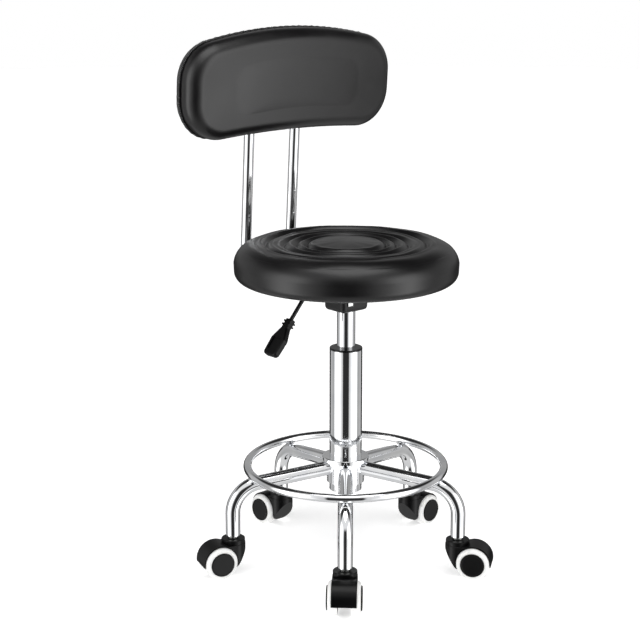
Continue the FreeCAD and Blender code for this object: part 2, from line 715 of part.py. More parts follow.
def mechanism_box():
    """Pressed steel box open at the top under a mounting plate that screws to the seat board."""
    depth = "box_half_depth"
    body = padded("mechanism_box", "XY_Plane", rectangle("box_half_width", "0 - " + depth, depth),
                  PLATE_BOTTOM + " - box_bottom", lift="box_bottom")
    round_edges(body, "box_round", lambda middle: middle.z < value(PLATE_BOTTOM + " - box_wall"))
    doc.recompute()
    inner_x = "(box_half_width - box_wall)"
    inner_y = "(box_half_depth - box_wall)"
    add_box(body, ("2 * " + inner_x, "2 * " + inner_y, PLATE_BOTTOM + " - box_bottom"),
            ("0 - " + inner_x, "0 - " + inner_y, "box_bottom + box_wall"), "inside", cut=True)
    add_box(body, ("2 * plate_half_width", "plate_back - plate_front", "plate_height"),
            ("0 - plate_half_width", "plate_front", PLATE_BOTTOM), "plate")
    drill(body, "lift_radius + lift_hole_gap", "4 * box_wall",
          Placement(Vector(0, 0, value("box_bottom - box_wall")), Rotation()), "lift_hole")
    side = value("box_half_depth + 2 * cut_past")
    drill(body, "pivot_radius + press_gap", "2 * box_half_depth + 4 * cut_past",
          Placement(Vector(value("pivot_offset"), side, value("lever_height")),
                    Rotation(X_AXIS, 90)), "pivot_hole")
    add_box(body, ("3 * box_wall", "2 * slot_half_width", "slot_height"),
            ("0 - box_half_width - box_wall", "0 - slot_half_width", "lever_height - slot_below"),
            "lever_slot", cut=True)
    drill(body, "screw_radius + screw_gap", "4 * box_wall",
          Placement(Vector(value("bolt_offset"), value("3 * box_wall - box_half_depth"),
                           value("bolt_height")), Rotation(X_AXIS, 90)), "bolt_hole")
    for index, (x_text, y_text) in enumerate(PLATE_SCREWS + CLAMP_SCREWS):
        base = Vector(value(x_text), value(y_text), value(PLATE_BOTTOM + " - cut_past"))
        drill(body, "screw_radius + screw_gap", "plate_height + 2 * cut_past",
              Placement(base, Rotation()), "screw_hole_%d" % index)
    return keep(body, "mechanism_box")


def mechanism_socket():
    """Tapered seat for the head of the lift cylinder, welded to the floor of the box."""
    low = "(box_bottom + box_wall)"
    fall = "(taper_fall * (%s - lift_top + taper_depth) / taper_depth)" % low
    return keep(turned("mechanism_socket", [
        ("lift_radius - %s + press_gap" % fall, low),
        ("socket_radius", low),
        ("socket_radius", "lift_top - edge_round"),
        ("socket_radius - edge_round", "lift_top"),
        ("lift_radius - taper_fall + press_gap", "lift_top"),
    ]), "mechanism_socket")


def lever_pin():
    """Pivot pin across the box, with a low head at each end."""
    half = "(box_half_depth + press_gap)"
    body = turned("lever_pin", [
        ("0", "0 - %s - pivot_head_height" % half),
        ("pivot_head_radius", "0 - %s - pivot_head_height" % half),
        ("pivot_head_radius", "0 - %s" % half),
        ("pivot_radius", "0 - %s" % half),
        ("pivot_radius", half),
        ("pivot_head_radius", half),
        ("pivot_head_radius", half + " + pivot_head_height"),
        ("0", half + " + pivot_head_height"),
    ])
    place = Placement(Vector(value("pivot_offset"), 0, value("lever_height")), Rotation(X_AXIS, 90))
    return keep(body, "lever_pin", place)


def lever_rod():
    """Bent wire lever with a pivot boss. Drawn in its own frame with X towards the handle."""
    tangent = "(lever_bend_radius * tan(lever_bend / 2))"
    end = "(lever_neck + handle_grip)"
    path = [
        ("0 - lever_inner", "0"),
        ("lever_reach - " + tangent, "0"),
        ("lever_reach + %s * cos(lever_bend)" % tangent, "0 - %s * sin(lever_bend)" % tangent,
         "lever_bend_radius", "in"),
        ("lever_reach + %s * cos(lever_bend)" % end, "0 - %s * sin(lever_bend)" % end),
    ]
    body = swept("lever_rod", path, "lever_radius", None, "0 - lever_inner")
    doc.recompute()
    boss_x = value("0 - pivot_offset")
    half = value("pivot_boss_half")
    add_round(body, "pivot_boss_radius", "2 * pivot_boss_half",
              Placement(Vector(boss_x, half, 0), Rotation(X_AXIS, 90)), "boss")
    drill(body, "pivot_radius + running_gap", "2 * pivot_boss_half + 2 * cut_past",
          Placement(Vector(boss_x, half + value("cut_past"), 0), Rotation(X_AXIS, 90)), "boss_bore")
    place = Placement(Vector(0, 0, value("lever_height")), Rotation(Z_AXIS, 180))
    return keep(body, "lever_rod", place)


def lever_handle():
    """Moulded paddle: narrow ribbed neck, wide end with a sunk panel on each face.
    X runs along the paddle from the neck, Y across it."""
    wide = "handle_half_width"
    widening = "handle_neck_length + handle_widening"
    body = padded("lever_handle", "XY_Plane", [
        ("0", "0 - handle_neck_half"),
        ("handle_neck_length", "0 - handle_neck_half"),
        (widening, "0 - " + wide),
        ("handle_length - handle_corner", "0 - handle_end_half - handle_flare"),
        ("handle_length", "handle_corner - handle_end_half", "handle_corner_round", "out"),
        ("handle_length", "handle_end_half - handle_corner"),
        ("handle_length - handle_corner", "handle_end_half + handle_flare",
         "handle_corner_round", "out"),
        (widening, wide),
        ("handle_neck_length", "handle_neck_half"),
        ("0", "handle_neck_half"),
    ], "handle_height", both_ways=True)
    face = value("handle_height / 2")
    round_edges(body, "handle_round", lambda middle: abs(abs(middle.z) - face) < TOUCHING)
    doc.recompute()
    for side in (-1, 1):
        low = "handle_height / 2 - panel_depth" if side > 0 else "0 - handle_height / 2 - cut_past"
        add_box(body, ("panel_length", "2 * panel_half_width", "panel_depth + cut_past"),
                (widening + " - panel_lead", "0 - panel_half_width", low), "panel_%d" % (side + 2),
                cut=True)
    for index in range(2):
        rib_half = "(handle_neck_half + rib_height)"
        add_box(body, ("rib_width", "2 * " + rib_half, "handle_height + 2 * rib_height"),
                ("rib_start + rib_pitch * %d" % index, "0 - " + rib_half,
                 "0 - handle_height / 2 - rib_height"),
                "rib_%d" % index)
    drill(body, "lever_radius + press_gap", "handle_grip + cut_past + bore_spare",
          Placement(Vector(-value("cut_past"), 0, 0), Rotation(Y_AXIS, 90)), "rod_bore")
    bend = value("lever_bend")
    reach = Vector(-value("lever_reach"), 0, value("lever_height"))
    along = Rotation(Y_AXIS, 180 - bend)
    start = reach + along.multVec(Vector(value("lever_neck"), 0, 0))
    return keep(body, "lever_handle", Placement(start, along))


# ---------------------------------------------------------------- seat

def screw(name, head_low, reach, place):
    """Pan head screw that points up from head_low, in its own frame."""
    body = turned(name, [
        ("0", head_low),
        ("screw_head_radius - edge_round", head_low),
        ("screw_head_radius", head_low + " + edge_round"),
        ("screw_head_radius", head_low + " + screw_head_height"),
        ("screw_radius", head_low + " + screw_head_height"),
        ("screw_radius", reach),
        ("0", reach),
    ])
    body.Placement = place
    return body


def seat_screws():
    """Plate screws, clamp screws under the seat and behind the pad, and the socket lock bolt."""
    made = []
    head = PLATE_BOTTOM + " - screw_head_height - press_gap"
    for index, (x_text, y_text) in enumerate(PLATE_SCREWS):
        place = Placement(Vector(value(x_text), value(y_text), 0), Rotation())
        made.append(screw("plate_screw_%d" % index, head, "board_bottom + screw_length", place))
    clamp_head = "0 - clamp_wall - screw_head_height - press_gap"
    for index, (x_text, y_text) in enumerate(CLAMP_SCREWS):
        below = Placement(Vector(value(x_text), value(y_text), value(PLATE_BOTTOM)), Rotation())
        reach = "plate_height + screw_length"
        made.append(screw("clamp_screw_%d" % index, clamp_head, reach, below))
        behind = pad_clamp_placement().multiply(Placement(Vector(value(x_text), 0, 0), Rotation()))
        made.append(screw("pad_screw_%d" % index, clamp_head, "screw_length", behind))
    bolt = padded("lock_bolt", "XY_Plane", rectangle("(bolt_head / 2)", "0 - bolt_head / 2",
                  "bolt_head / 2"), "bolt_head_depth", lift="press_gap")
    round_edges(bolt, "bolt_round", lambda middle: middle.z > value("bolt_head_depth / 2"))
    doc.recompute()
    add_round(bolt, "screw_radius", "screw_length + press_gap",
              Placement(Vector(0, 0, -value("screw_length")), Rotation()), "shank")
    bolt.Placement = Placement(
        Vector(value("bolt_offset"), value("0 - box_half_depth"), value("bolt_height")),
        Rotation(X_AXIS, 90))
    made.append(bolt)
    return group("seat_screws", made)


def seat_board():
    body = turned("seat_board", [
        ("0", "board_bottom"),
        ("board_radius", "board_bottom"),
        ("board_radius", "board_bottom + board_height"),
        ("0", "board_bottom + board_height"),
    ])
    for index, (x_text, y_text) in enumerate(PLATE_SCREWS + CLAMP_SCREWS):
        base = Vector(value(x_text), value(y_text), value("board_bottom - cut_past"))
        drill(body, "screw_radius + press_gap", "screw_length + cut_past + bore_spare",
              Placement(base, Rotation()), "pilot_%d" % index)
    return keep(body, "seat_board")


BOARD_TOP = "(board_bottom + board_height + cover_gap)"


def seat_foam():
    side = "(seat_radius - cover_wall - cover_gap)"
    top = "(seat_top - cover_wall - cover_gap)"
    edge = "(seat_edge_top - cover_wall - cover_gap)"
    start = "(board_bottom + seat_edge_bottom - cover_wall)"
    return keep(turned("seat_foam", [
        ("0", BOARD_TOP),
        ("board_radius + cover_gap", BOARD_TOP),
        ("board_radius + cover_gap", start),
        (side, start),
        (side, "seat_top - seat_edge_top"),
        ("seat_radius - seat_edge_top", top, edge, "out"),
        ("0", top),
    ]), "seat_foam")


def seat_cover():
    """Upholstery skin over the foam, wrapped under the edge of the board."""
    bottom = "(board_bottom - cover_gap - cover_wall)"
    shoulder = "(seat_radius - seat_edge_top)"
    foot = "(seat_radius - seat_edge_bottom)"
    return keep(turned("seat_cover", [
        (foot + " - wrap_width", bottom),
        (foot, bottom),
        ("seat_radius", bottom + " + seat_edge_bottom", "seat_edge_bottom", "out"),
        ("seat_radius", "seat_top - seat_edge_top"),
        (shoulder, "seat_top", "seat_edge_top", "out"),
        ("0", "seat_top"),
        ("0", "seat_top - cover_wall"),
        (shoulder, "seat_top - cover_wall"),
        ("seat_radius - cover_wall", "seat_top - seat_edge_top", "seat_edge_top - cover_wall", "in"),
        ("seat_radius - cover_wall", bottom + " + seat_edge_bottom"),
        (foot, bottom + " + cover_wall", "seat_edge_bottom - cover_wall", "in"),
        (foot + " - wrap_width", bottom + " + cover_wall"),
    ]), "seat_cover")


# ---------------------------------------------------------------- back tube, clamps and pad

def tube_line(height):
    """Y of the tube's centre line at a height above its lower bend."""
    return value("tube_back") - math.tan(math.radians(value("tube_lean"))) * (
        height - value("tube_lean_height"))


def corner_points(before, corner, after, radius):
    """Start, middle and end of the arc that rounds a corner."""
    way_in = (before - corner).normalize()
    way_out = (after - corner).normalize()
    half = way_in.getAngle(way_out) / 2
    reach = radius / math.tan(half)
    centre = corner + (way_in + way_out).normalize() * (radius / math.sin(half))
    return corner + way_in * reach, centre + (corner - centre).normalize() * radius, (
        corner + way_out * reach)


def tube_solid(radius):
    """The whole bent tube as a solid of one radius: up behind the seat, under it and round a U."""
    side = value("tube_half_spacing")
    low = value(PLATE_BOTTOM + " - tube_radius")
    turn_back = value("tube_turn_back")
    halves = []
    for sign in (1, -1):
        top = Vector(sign * side, tube_line(value("tube_top")), value("tube_top"))
        corner = Vector(sign * side, tube_line(low), low)
        forward = Vector(sign * side, turn_back, low)
        halves.append((top, corner_points(top, corner, forward, value("tube_bend_radius")), forward))
    right, left = halves
    edges = [
        Part.LineSegment(right[0], right[1][0]).toShape(),
        Part.Arc(*right[1]).toShape(),
        Part.LineSegment(right[1][2], right[2]).toShape(),
        Part.Arc(right[2], Vector(0, turn_back - side, low), left[2]).toShape(),
        Part.LineSegment(left[2], left[1][2]).toShape(),
        Part.Arc(left[1][2], left[1][1], left[1][0]).toShape(),
        Part.LineSegment(left[1][0], left[0]).toShape(),
    ]
    start = right[0]
    section = Part.Wire([Part.Circle(start, right[1][0] - start, radius).toShape()])
    return Part.Wire(edges).makePipeShell([section], True, True)


def notch_ring(index):
    """A shallow height mark round the right tube. The first and last go all the way round."""
    height = value("notch_first") + index * value("notch_pitch")
    radius = value("tube_radius")
    lean = Rotation(X_AXIS, value("tube_lean"))
    low = Vector(value("tube_half_spacing"), tube_line(height), height)
    up = lean.multVec(Z_AXIS)
    outer = Part.makeCylinder(radius + value("cut_past"), value("notch_height"), low, up)
    inner = Part.makeCylinder(radius - value("notch_depth"), value("notch_height"), low, up)
    ring = outer.cut(inner)
    if 0 < index < NOTCHES - 1:
        corner = low + Vector(NOTCH_SIDE * radius, -2 * radius, -radius)
        ring = ring.common(Part.makeBox(radius, 4 * radius, 2 * radius, corner))
    return ring


def back_tube():
    shape = tube_solid(value("tube_radius")).cut(tube_solid(value("tube_radius - tube_wall")))
    for index in range(NOTCHES):
        shape = shape.cut(notch_ring(index))
    tube = doc.addObject("Part::Feature", "back_tube")
    tube.Shape = shape
    tube.Placement = Placement()
    return keep(tube, "back_tube")


def pad_placement():
    """Middle of the back pad, leaning with the tubes. X across, Z up the pad, -Y to the sitter."""
    height = value("pad_height")
    lean = Rotation(X_AXIS, value("tube_lean"))
    on_tube = Vector(0, tube_line(height), height)
    forward = lean.multVec(Vector(0, -value("tube_radius + pad_depth / 2"), 0))
    return Placement(on_tube + forward, lean)


def pad_clamp_placement():
    """Clamp frame on the back of the pad: Z points into the pad, Y along the tubes."""
    local = Placement(Vector(0, value("pad_depth / 2"), value("0 - pad_clamp_drop")),
                      Rotation(X_AXIS, 90))
    return pad_placement().multiply(local)


def tube_clamps():
    """Two equal straps with a saddle for each tube: under the mounting plate and behind the pad."""
    made = []
    places = (Placement(Vector(0, value("clamp_place"), value(PLATE_BOTTOM)), Rotation()),
              pad_clamp_placement())
    half_length = "(tube_half_spacing + clamp_ear)"
    for index, place in enumerate(places):
        name = "clamp_%d" % index
        half = "clamp_half_width"
        body = padded(name, "XY_Plane", rectangle(half_length, "0 - " + half, half), "clamp_wall",
                      lift="0 - clamp_wall")
        doc.recompute()
        half_width = value(half)
        past = value("cut_past")
        for side in (-1, 1):
            middle = Vector(side * value("tube_half_spacing"), half_width, -value("tube_radius"))
            add_round(body, "tube_radius + clamp_wall", "2 * " + half,
                      Placement(middle, Rotation(X_AXIS, 90)), "saddle_%d" % (side + 2))
        add_box(body, ("2 * " + half_length, "2 * %s + 2 * cut_past" % half, "tube_radius"),
                ("0 - " + half_length, "0 - %s - cut_past" % half, "0"), "trim", cut=True)
        for side in (-1, 1):
            middle = Vector(side * value("tube_half_spacing"), half_width + past, -value("tube_radius"))
            drill(body, "tube_radius + press_gap", "2 * %s + 2 * cut_past" % half,
                  Placement(middle, Rotation(X_AXIS, 90)), "groove_%d" % (side + 2))
            hole = Vector(side * value("clamp_screw_side"), 0, -value("clamp_wall") - past)
            drill(body, "screw_radius + screw_gap", "clamp_wall + 2 * cut_past",
                  Placement(hole, Rotation()), "hole_%d" % (side + 2))
        body.Placement = place
        made.append(body)
    return group("tube_clamps", made)


def kidney(inset):
    """Outline of the back pad, drawn inwards by an inset: long top arc, round ends, hollow foot.
    All arcs meet smoothly, because each pair of neighbours has its centres in line."""
    wide = "(pad_half_width - pad_corner)"
    turn = "asin(%s / (pad_top_radius - pad_corner))" % wide
    top_centre = "(pad_top - pad_top_radius)"
    corner_z = "(%s + (pad_top_radius - pad_corner) * cos(%s))" % (top_centre, turn)
    foot_wide = "(pad_half_width - pad_low_corner)"
    rise = "(pad_low_centre - pad_low_middle)"
    foot_radius = "((%s ^ 2 + %s ^ 2 - pad_low_corner ^ 2) / (2 * (pad_low_corner - %s)))" % (
        foot_wide, rise, rise)
    share = "((%s + (%s)) / (%s + pad_low_corner))" % (foot_radius, inset, foot_radius)
    foot_x = "(%s * %s)" % (foot_wide, share)
    foot_z = "(pad_low_middle - %s + (%s + %s) * %s)" % (foot_radius, rise, foot_radius, share)
    side_x = "(pad_half_width - (%s))" % inset
    top_x = "((pad_top_radius - (%s)) * sin(%s))" % (inset, turn)
    top_z = "(%s + (pad_top_radius - (%s)) * cos(%s))" % (top_centre, inset, turn)
    corner = "pad_corner - (%s)" % inset
    low_corner = "pad_low_corner - (%s)" % inset
    return [
        (foot_x, foot_z, foot_radius + " + (%s)" % inset, "in"),
        (side_x, "pad_low_centre", low_corner, "out"),
        (side_x, corner_z),
        (top_x, top_z, corner, "out"),
        ("0 - " + top_x, top_z, "pad_top_radius - (%s)" % inset, "out"),
        ("0 - " + side_x, corner_z, corner, "out"),
        ("0 - " + side_x, "pad_low_centre"),
        ("0 - " + foot_x, foot_z, low_corner, "out"),
    ]


def pad_block(name, inset, low, high, front_round, back_round):
    """A slab of the pad outline from y low to high, with its rims rounded."""
    body = padded(name, "XZ_Plane", kidney(inset), "(%s) - (%s)" % (high, low),
                  lift="0 - (%s)" % high)
    for y_text, radius, label in ((low, front_round, "front_rim"), (high, back_round, "back_rim")):
        if radius:
            place = value(y_text)
            round_edges(body, radius, lambda middle: abs(middle.y - place) < TOUCHING, label)
    return body


def back_cover():
    """Hollow upholstered skin of the back pad, with holes behind for the clamp screws."""
    half = "pad_depth / 2"
    outside = pad_block("cover_outside", "0", "0 - " + half, half, "pad_front_round",
                        "pad_back_round")
    inside = pad_block("cover_inside", "cover_wall", "cover_wall - " + half, half + " - cover_wall",
                       "pad_front_round - cover_wall", "pad_back_round - cover_wall")
    skin = doc.addObject("Part::Cut", "cover_skin")
    skin.Base = outside
    skin.Tool = inside
    for side in (-1, 1):
        hole = doc.addObject("Part::Cylinder", "cover_hole_%d" % (side + 2))
        bind(hole, Radius="screw_radius + screw_gap", Height="3 * cover_wall")
        hole.Placement = Placement(
            Vector(side * value("clamp_screw_side"), value("pad_depth / 2 + cover_wall"),
                   value("0 - pad_clamp_drop")), Rotation(X_AXIS, 90))
        pierced = doc.addObject("Part::Cut", "cover_skin")
        pierced.Base = skin
        pierced.Tool = hole
        skin = pierced
    return keep(skin, "back_cover", pad_placement())


BOARD_FRONT = "(pad_depth / 2 - cover_wall - cover_gap - pad_board_height)"


def back_board():
    body = pad_block("back_board", "pad_board_inset", BOARD_FRONT,
                     BOARD_FRONT + " + pad_board_height", None, None)
    doc.recompute()
    for side in (-1, 1):
        base = Vector(side * value("clamp_screw_side"), value("pad_depth / 2 + cut_past"),
                      value("0 - pad_clamp_drop"))
        drill(body, "screw_radius + press_gap", "screw_length + cut_past + bore_spare",
              Placement(base, Rotation(X_AXIS, 90)), "pilot_%d" % (side + 2))
    return keep(body, "back_board", pad_placement())


def back_foam():
    inset = "cover_wall + cover_gap"
    body = pad_block("back_foam", inset, "cover_wall + cover_gap - pad_depth / 2",
                     BOARD_FRONT + " - cover_gap", "pad_front_round - cover_wall - cover_gap", None)
    return keep(body, "back_foam", pad_placement())


# ---------------------------------------------------------------- build, check and write

def build():
    column_tube()
    guide_bush()
    thrust_bearing()
    lift_rod()
    rod_clip()
    lift_cylinder()
    valve_pin()
    hub()
    for number in range(1, LEGS + 1):
        leg(number)
    foot_ring()
    stem_sockets()
    caster_stems()
    casters()
    mechanism_box()
    mechanism_socket()
    lever_pin()
    lever_rod()
    lever_handle()
    seat_board()
    seat_foam()
    seat_cover()
    seat_screws()
    back_tube()
    tube_clamps()
    back_board()
    back_foam()
    back_cover()
    doc.recompute()


def check():
    """Stops the build if any feature failed or any sub-part is empty or broken."""
    for thing in doc.Objects:
        bad = [state for state in thing.State if state in ("Invalid", "Error")]
        if bad:
            raise RuntimeError("%s failed: %s" % (thing.Name, thing.getStatusString()))
    for thing in subparts:
        shape = thing.Shape
        if shape.isNull() or not shape.isValid() or not shape.Solids:
            raise RuntimeError("%s has no sound solid" % thing.Label)


def write():
    os.makedirs("parts", exist_ok=True)
    for thing in subparts:
        shape = thing.Shape
        shape.exportStep("parts/%s.step" % thing.Label)
        print("%-24s %d solids %10.1f mm3" % (thing.Label, len(shape.Solids), shape.Volume))


build()
check()
write()
print(len(subparts), "sub-parts")
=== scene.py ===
# %% [markdown]
# # A rolling stylist stool
# The metal, plastic and wood of this stool are already drawn as solids, so this lesson loads
# them as a fixed frame and works on what solids are bad at: the stuffed seat, the stuffed back
# pad, their seams and stitches, and the finish of every surface. All lengths are metres, Z is
# up, the floor is at height zero and the sitter faces -Y.

# %% Load the frame
import math

import bmesh
import bpy
import numpy as np
from mathutils import Matrix, Vector
from mathutils.bvhtree import BVHTree


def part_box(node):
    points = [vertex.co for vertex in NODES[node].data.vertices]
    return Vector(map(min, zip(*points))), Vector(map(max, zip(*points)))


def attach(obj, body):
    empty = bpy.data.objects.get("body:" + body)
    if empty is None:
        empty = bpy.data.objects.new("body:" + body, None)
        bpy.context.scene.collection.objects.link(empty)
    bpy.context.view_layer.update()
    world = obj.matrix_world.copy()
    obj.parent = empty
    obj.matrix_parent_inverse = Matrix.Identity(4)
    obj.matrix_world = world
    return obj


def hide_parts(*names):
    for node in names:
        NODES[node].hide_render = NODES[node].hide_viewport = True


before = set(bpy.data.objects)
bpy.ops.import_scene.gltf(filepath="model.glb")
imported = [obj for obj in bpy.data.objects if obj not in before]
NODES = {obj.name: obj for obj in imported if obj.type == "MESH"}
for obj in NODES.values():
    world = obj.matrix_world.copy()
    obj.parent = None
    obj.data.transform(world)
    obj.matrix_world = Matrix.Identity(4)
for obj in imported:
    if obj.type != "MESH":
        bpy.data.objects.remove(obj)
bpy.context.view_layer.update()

SCENE = bpy.context.scene

# %% [markdown]
# The camera comes first, because the shapes are judged through it. It stands low in front and
# to the sitter's left of the stool and looks slightly down. A long lens keeps the upright tubes
# nearly parallel, as a catalogue shot does.

# %% Place the camera
VIEW_TURN = math.radians(41.3)
CAMERA_REACH = 2.3219
CAMERA_HEIGHT = 0.9638
CAMERA_DROP = math.radians(13.98)
CAMERA_AIM = 0.0170

camera_data = bpy.data.cameras.new("shop_camera")
camera_data.lens = 89.13
camera_data.sensor_width = 36.0
camera = bpy.data.objects.new("shop_camera", camera_data)
camera.location = (-CAMERA_REACH * math.sin(VIEW_TURN), -CAMERA_REACH * math.cos(VIEW_TURN),
                   CAMERA_HEIGHT)
camera.rotation_euler = (math.pi / 2 - CAMERA_DROP, 0, -VIEW_TURN + CAMERA_AIM)
SCENE.collection.objects.link(camera)
SCENE.camera = camera
SCENE.view_settings.view_transform = "Standard"
print("camera at", tuple(round(c, 3) for c in camera.location))

# %% [markdown]
# Chrome and black leather have no look of their own: they show what stands around them. The
# studio is therefore a sky painted with soft boxes. Two tall bright fields stand left and right
# of the camera, the strip behind the camera is dark, and the far side is dim. That gives every
# upright tube its dark middle line and gives the leather its slow grey gradients. Rays that go
# straight from the camera to the sky see a plain white backdrop.

# %% Node helpers
def node(tree, kind, inputs=None, **settings):
    """Adds a shader node. Inputs may be numbers, colours or sockets of other nodes."""
    made = tree.nodes.new(kind)
    for name, setting in settings.items():
        setattr(made, name, setting)
    for name, given in (inputs or {}).items():
        socket = made.inputs[name]
        if isinstance(given, bpy.types.NodeSocket):
            tree.links.new(given, socket)
        else:
            socket.default_value = given
    return made


def maths(tree, operation, *values):
    """One step of arithmetic in a shader."""
    made = node(tree, "ShaderNodeMath", dict(enumerate(values)), operation=operation)
    return made.outputs[0]


def ramp(tree, factor, stops, interpolation="EASE"):
    """A colour ramp from (place, grey or colour) pairs."""
    made = node(tree, "ShaderNodeValToRGB", {"Fac": factor})
    band = made.color_ramp
    band.interpolation = interpolation
    while len(band.elements) < len(stops):
        band.elements.new(0.5)
    for element, (place, shade) in zip(band.elements, stops):
        element.position = place
        element.color = (*shade, 1) if isinstance(shade, tuple) else (shade, shade, shade, 1)
    return made.outputs["Color"]


# %% Paint the studio
# Each ramp reads the angle from the camera's side, 0 in front to 1 behind. One is for the sky
# near the horizon, one for below it and one for high up; the height of the ray picks between them.
SKY_LEVEL = 3.0
LEVEL_STOPS = [(0.0, 0.010), (0.105, 0.010), (0.135, 0.26), (0.20, 0.30), (0.27, 1.1), (0.40, 1.1),
               (0.46, 0.44), (0.51, 0.15), (0.70, 0.18), (0.80, 0.12), (1.0, 0.12)]
BELOW_STOPS = [(0.0, 0.010), (0.105, 0.010), (0.135, 0.24), (0.24, 0.42), (0.34, 1.1), (0.41, 1.1),
               (0.46, 0.42), (0.51, 0.14), (0.71, 0.18), (0.76, 0.012), (1.0, 0.012)]
HIGH_STOPS = [(0.0, 0.30), (0.38, 0.30), (0.50, 0.012), (1.0, 0.008)]
NADIR_SHADE = 0.24

world = bpy.data.worlds.new("studio")
SCENE.world = world
world.use_nodes = True
sky = world.node_tree
sky.nodes.clear()


def step_between(tree, number, start, stop):
    """0 below start, 1 above stop, smooth between."""
    made = node(tree, "ShaderNodeMapRange", {"Value": number, "From Min": start, "From Max": stop},
                interpolation_type="SMOOTHSTEP")
    return made.outputs[0]


def mixed(tree, factor, first, second):
    made = node(tree, "ShaderNodeMix", {0: factor, 6: first, 7: second}, data_type="RGBA")
    return made.outputs[2]


towards = node(sky, "ShaderNodeTexCoord").outputs["Generated"]
parts = node(sky, "ShaderNodeSeparateXYZ", {0: towards})
front = maths(sky, "ADD", maths(sky, "MULTIPLY", parts.outputs[0], -math.sin(VIEW_TURN)),
              maths(sky, "MULTIPLY", parts.outputs[1], -math.cos(VIEW_TURN)))
side = maths(sky, "ADD", maths(sky, "MULTIPLY", parts.outputs[0], math.cos(VIEW_TURN)),
             maths(sky, "MULTIPLY", parts.outputs[1], -math.sin(VIEW_TURN)))
turn = maths(sky, "DIVIDE", maths(sky, "ARCTAN2", maths(sky, "ABSOLUTE", side), front), math.pi)
height = parts.outputs[2]
level = mixed(sky, step_between(sky, height, -0.02, 0.03), ramp(sky, turn, BELOW_STOPS),
              ramp(sky, turn, LEVEL_STOPS))
upper = mixed(sky, step_between(sky, height, 0.40, 0.62), level, ramp(sky, turn, HIGH_STOPS))
whole = mixed(sky, step_between(sky, maths(sky, "MULTIPLY", height, -1.0), 0.55, 0.80), upper,
              (NADIR_SHADE, NADIR_SHADE, NADIR_SHADE, 1))
boxes = node(sky, "ShaderNodeBackground", {"Color": whole, "Strength": SKY_LEVEL})
backdrop = node(sky, "ShaderNodeBackground", {"Color": (1, 1, 1, 1), "Strength": 1.0})
straight = node(sky, "ShaderNodeLightPath").outputs["Is Camera Ray"]
shown = node(sky, "ShaderNodeMixShader", {0: straight, 1: boxes.outputs[0],
                                          2: backdrop.outputs[0]})
node(sky, "ShaderNodeOutputWorld", {"Surface": shown.outputs[0]})
print("studio painted with", len(LEVEL_STOPS) + len(BELOW_STOPS) + len(HIGH_STOPS), "bands")

# %% [markdown]
# One wide lamp overhead softens the shadow under the stool, and a pale round floor catches it.
# Both are only the stage and don't belong to the object. Mirror rays pass through the floor, so
# the chrome goes on showing the soft boxes below the horizon, as it would on a raised table.

# %% Floor and lamp
FLOOR_RADIUS = 9.0
LAMP_HEIGHT = 2.6
LAMP_SIZE = 1.8
LAMP_POWER = 25.0
FLOOR_GLOW = 0.55


def ring_points(count, radius):
    return [(radius * math.cos(2 * math.pi * k / count), radius * math.sin(2 * math.pi * k / count))
            for k in range(count)]


def add_object(name, data):
    made = bpy.data.objects.new(name, data)
    SCENE.collection.objects.link(made)
    return made


floor_mesh = bpy.data.meshes.new("floor")
floor_mesh.from_pydata([(x, y, 0) for x, y in ring_points(64, FLOOR_RADIUS)], [], [range(64)])
floor = add_object("floor", floor_mesh)
floor.visible_glossy = False

lamp_data = bpy.data.lights.new("overhead", "AREA")
lamp_data.size = LAMP_SIZE
lamp_data.energy = LAMP_POWER
lamp = add_object("overhead", lamp_data)
lamp.location = (-0.3, -0.5, LAMP_HEIGHT)
lamp.rotation_euler = (math.atan2(0.5, LAMP_HEIGHT), math.atan2(-0.3, LAMP_HEIGHT), 0)
print("floor radius", FLOOR_RADIUS)

# %% [markdown]
# Every finish is a Principled shader whose colour, roughness and bump come from noise in the
# object's own coordinates. One helper makes the shader; each finish then adds what is special
# about it: chrome is nearly a mirror with faint polishing clouds, moulded nylon has a fine
# spark-eroded grain, powder coat has orange peel, and soft leathercloth has small pebbles.

# %% A helper for finishes
def finish(name, colour, rough, metallic=0.0, **fixed):
    """A Principled material with fixed values on its own sockets; returns it with its tree."""
    material = bpy.data.materials.new(name)
    material.use_nodes = True
    tree = material.node_tree
    shader = tree.nodes["Principled BSDF"]
    shader.inputs["Base Color"].default_value = (*colour, 1)
    shader.inputs["Roughness"].default_value = rough
    shader.inputs["Metallic"].default_value = metallic
    for socket, setting in fixed.items():
        shader.inputs[socket.replace("_", " ")].default_value = setting
    return material, tree, shader


def grain(tree, scale, detail=3.0, kind="ShaderNodeTexNoise", stretch=None, **settings):
    """A noise or cell texture in object coordinates; scale is waves per metre."""
    place = node(tree, "ShaderNodeTexCoord").outputs["Object"]
    if stretch:
        place = node(tree, "ShaderNodeMapping", {"Vector": place, "Scale": stretch}).outputs[0]
    inputs = {"Vector": place, "Scale": scale}
    if kind == "ShaderNodeTexNoise":
        inputs["Detail"] = detail
    return node(tree, kind, inputs, **settings).outputs[0]


def vary(tree, socket, factor, low, high):
    """Lets a noise move a shader value between low and high."""
    spread = node(tree, "ShaderNodeMapRange", {"Value": factor, "From Min": 0.3, "From Max": 0.7,
                                               "To Min": low, "To Max": high})
    tree.links.new(spread.outputs[0], socket)


def shade(tree, socket, factor, dark, light, low=0.35, high=0.65):
    """Lets a noise move a shader colour between dark and light."""
    tree.links.new(ramp(tree, factor, [(low, dark), (high, light)]), socket)


def bump(tree, shader, layers):
    """Stacks bumps: each layer is (height socket, depth in metres, strength)."""
    normal = None
    for socket, depth, strength in layers:
        inputs = {"Height": socket, "Distance": depth, "Strength": strength}
        if normal:
            inputs["Normal"] = normal
        normal = node(tree, "ShaderNodeBump", inputs).outputs[0]
    tree.links.new(normal, shader.inputs["Normal"])


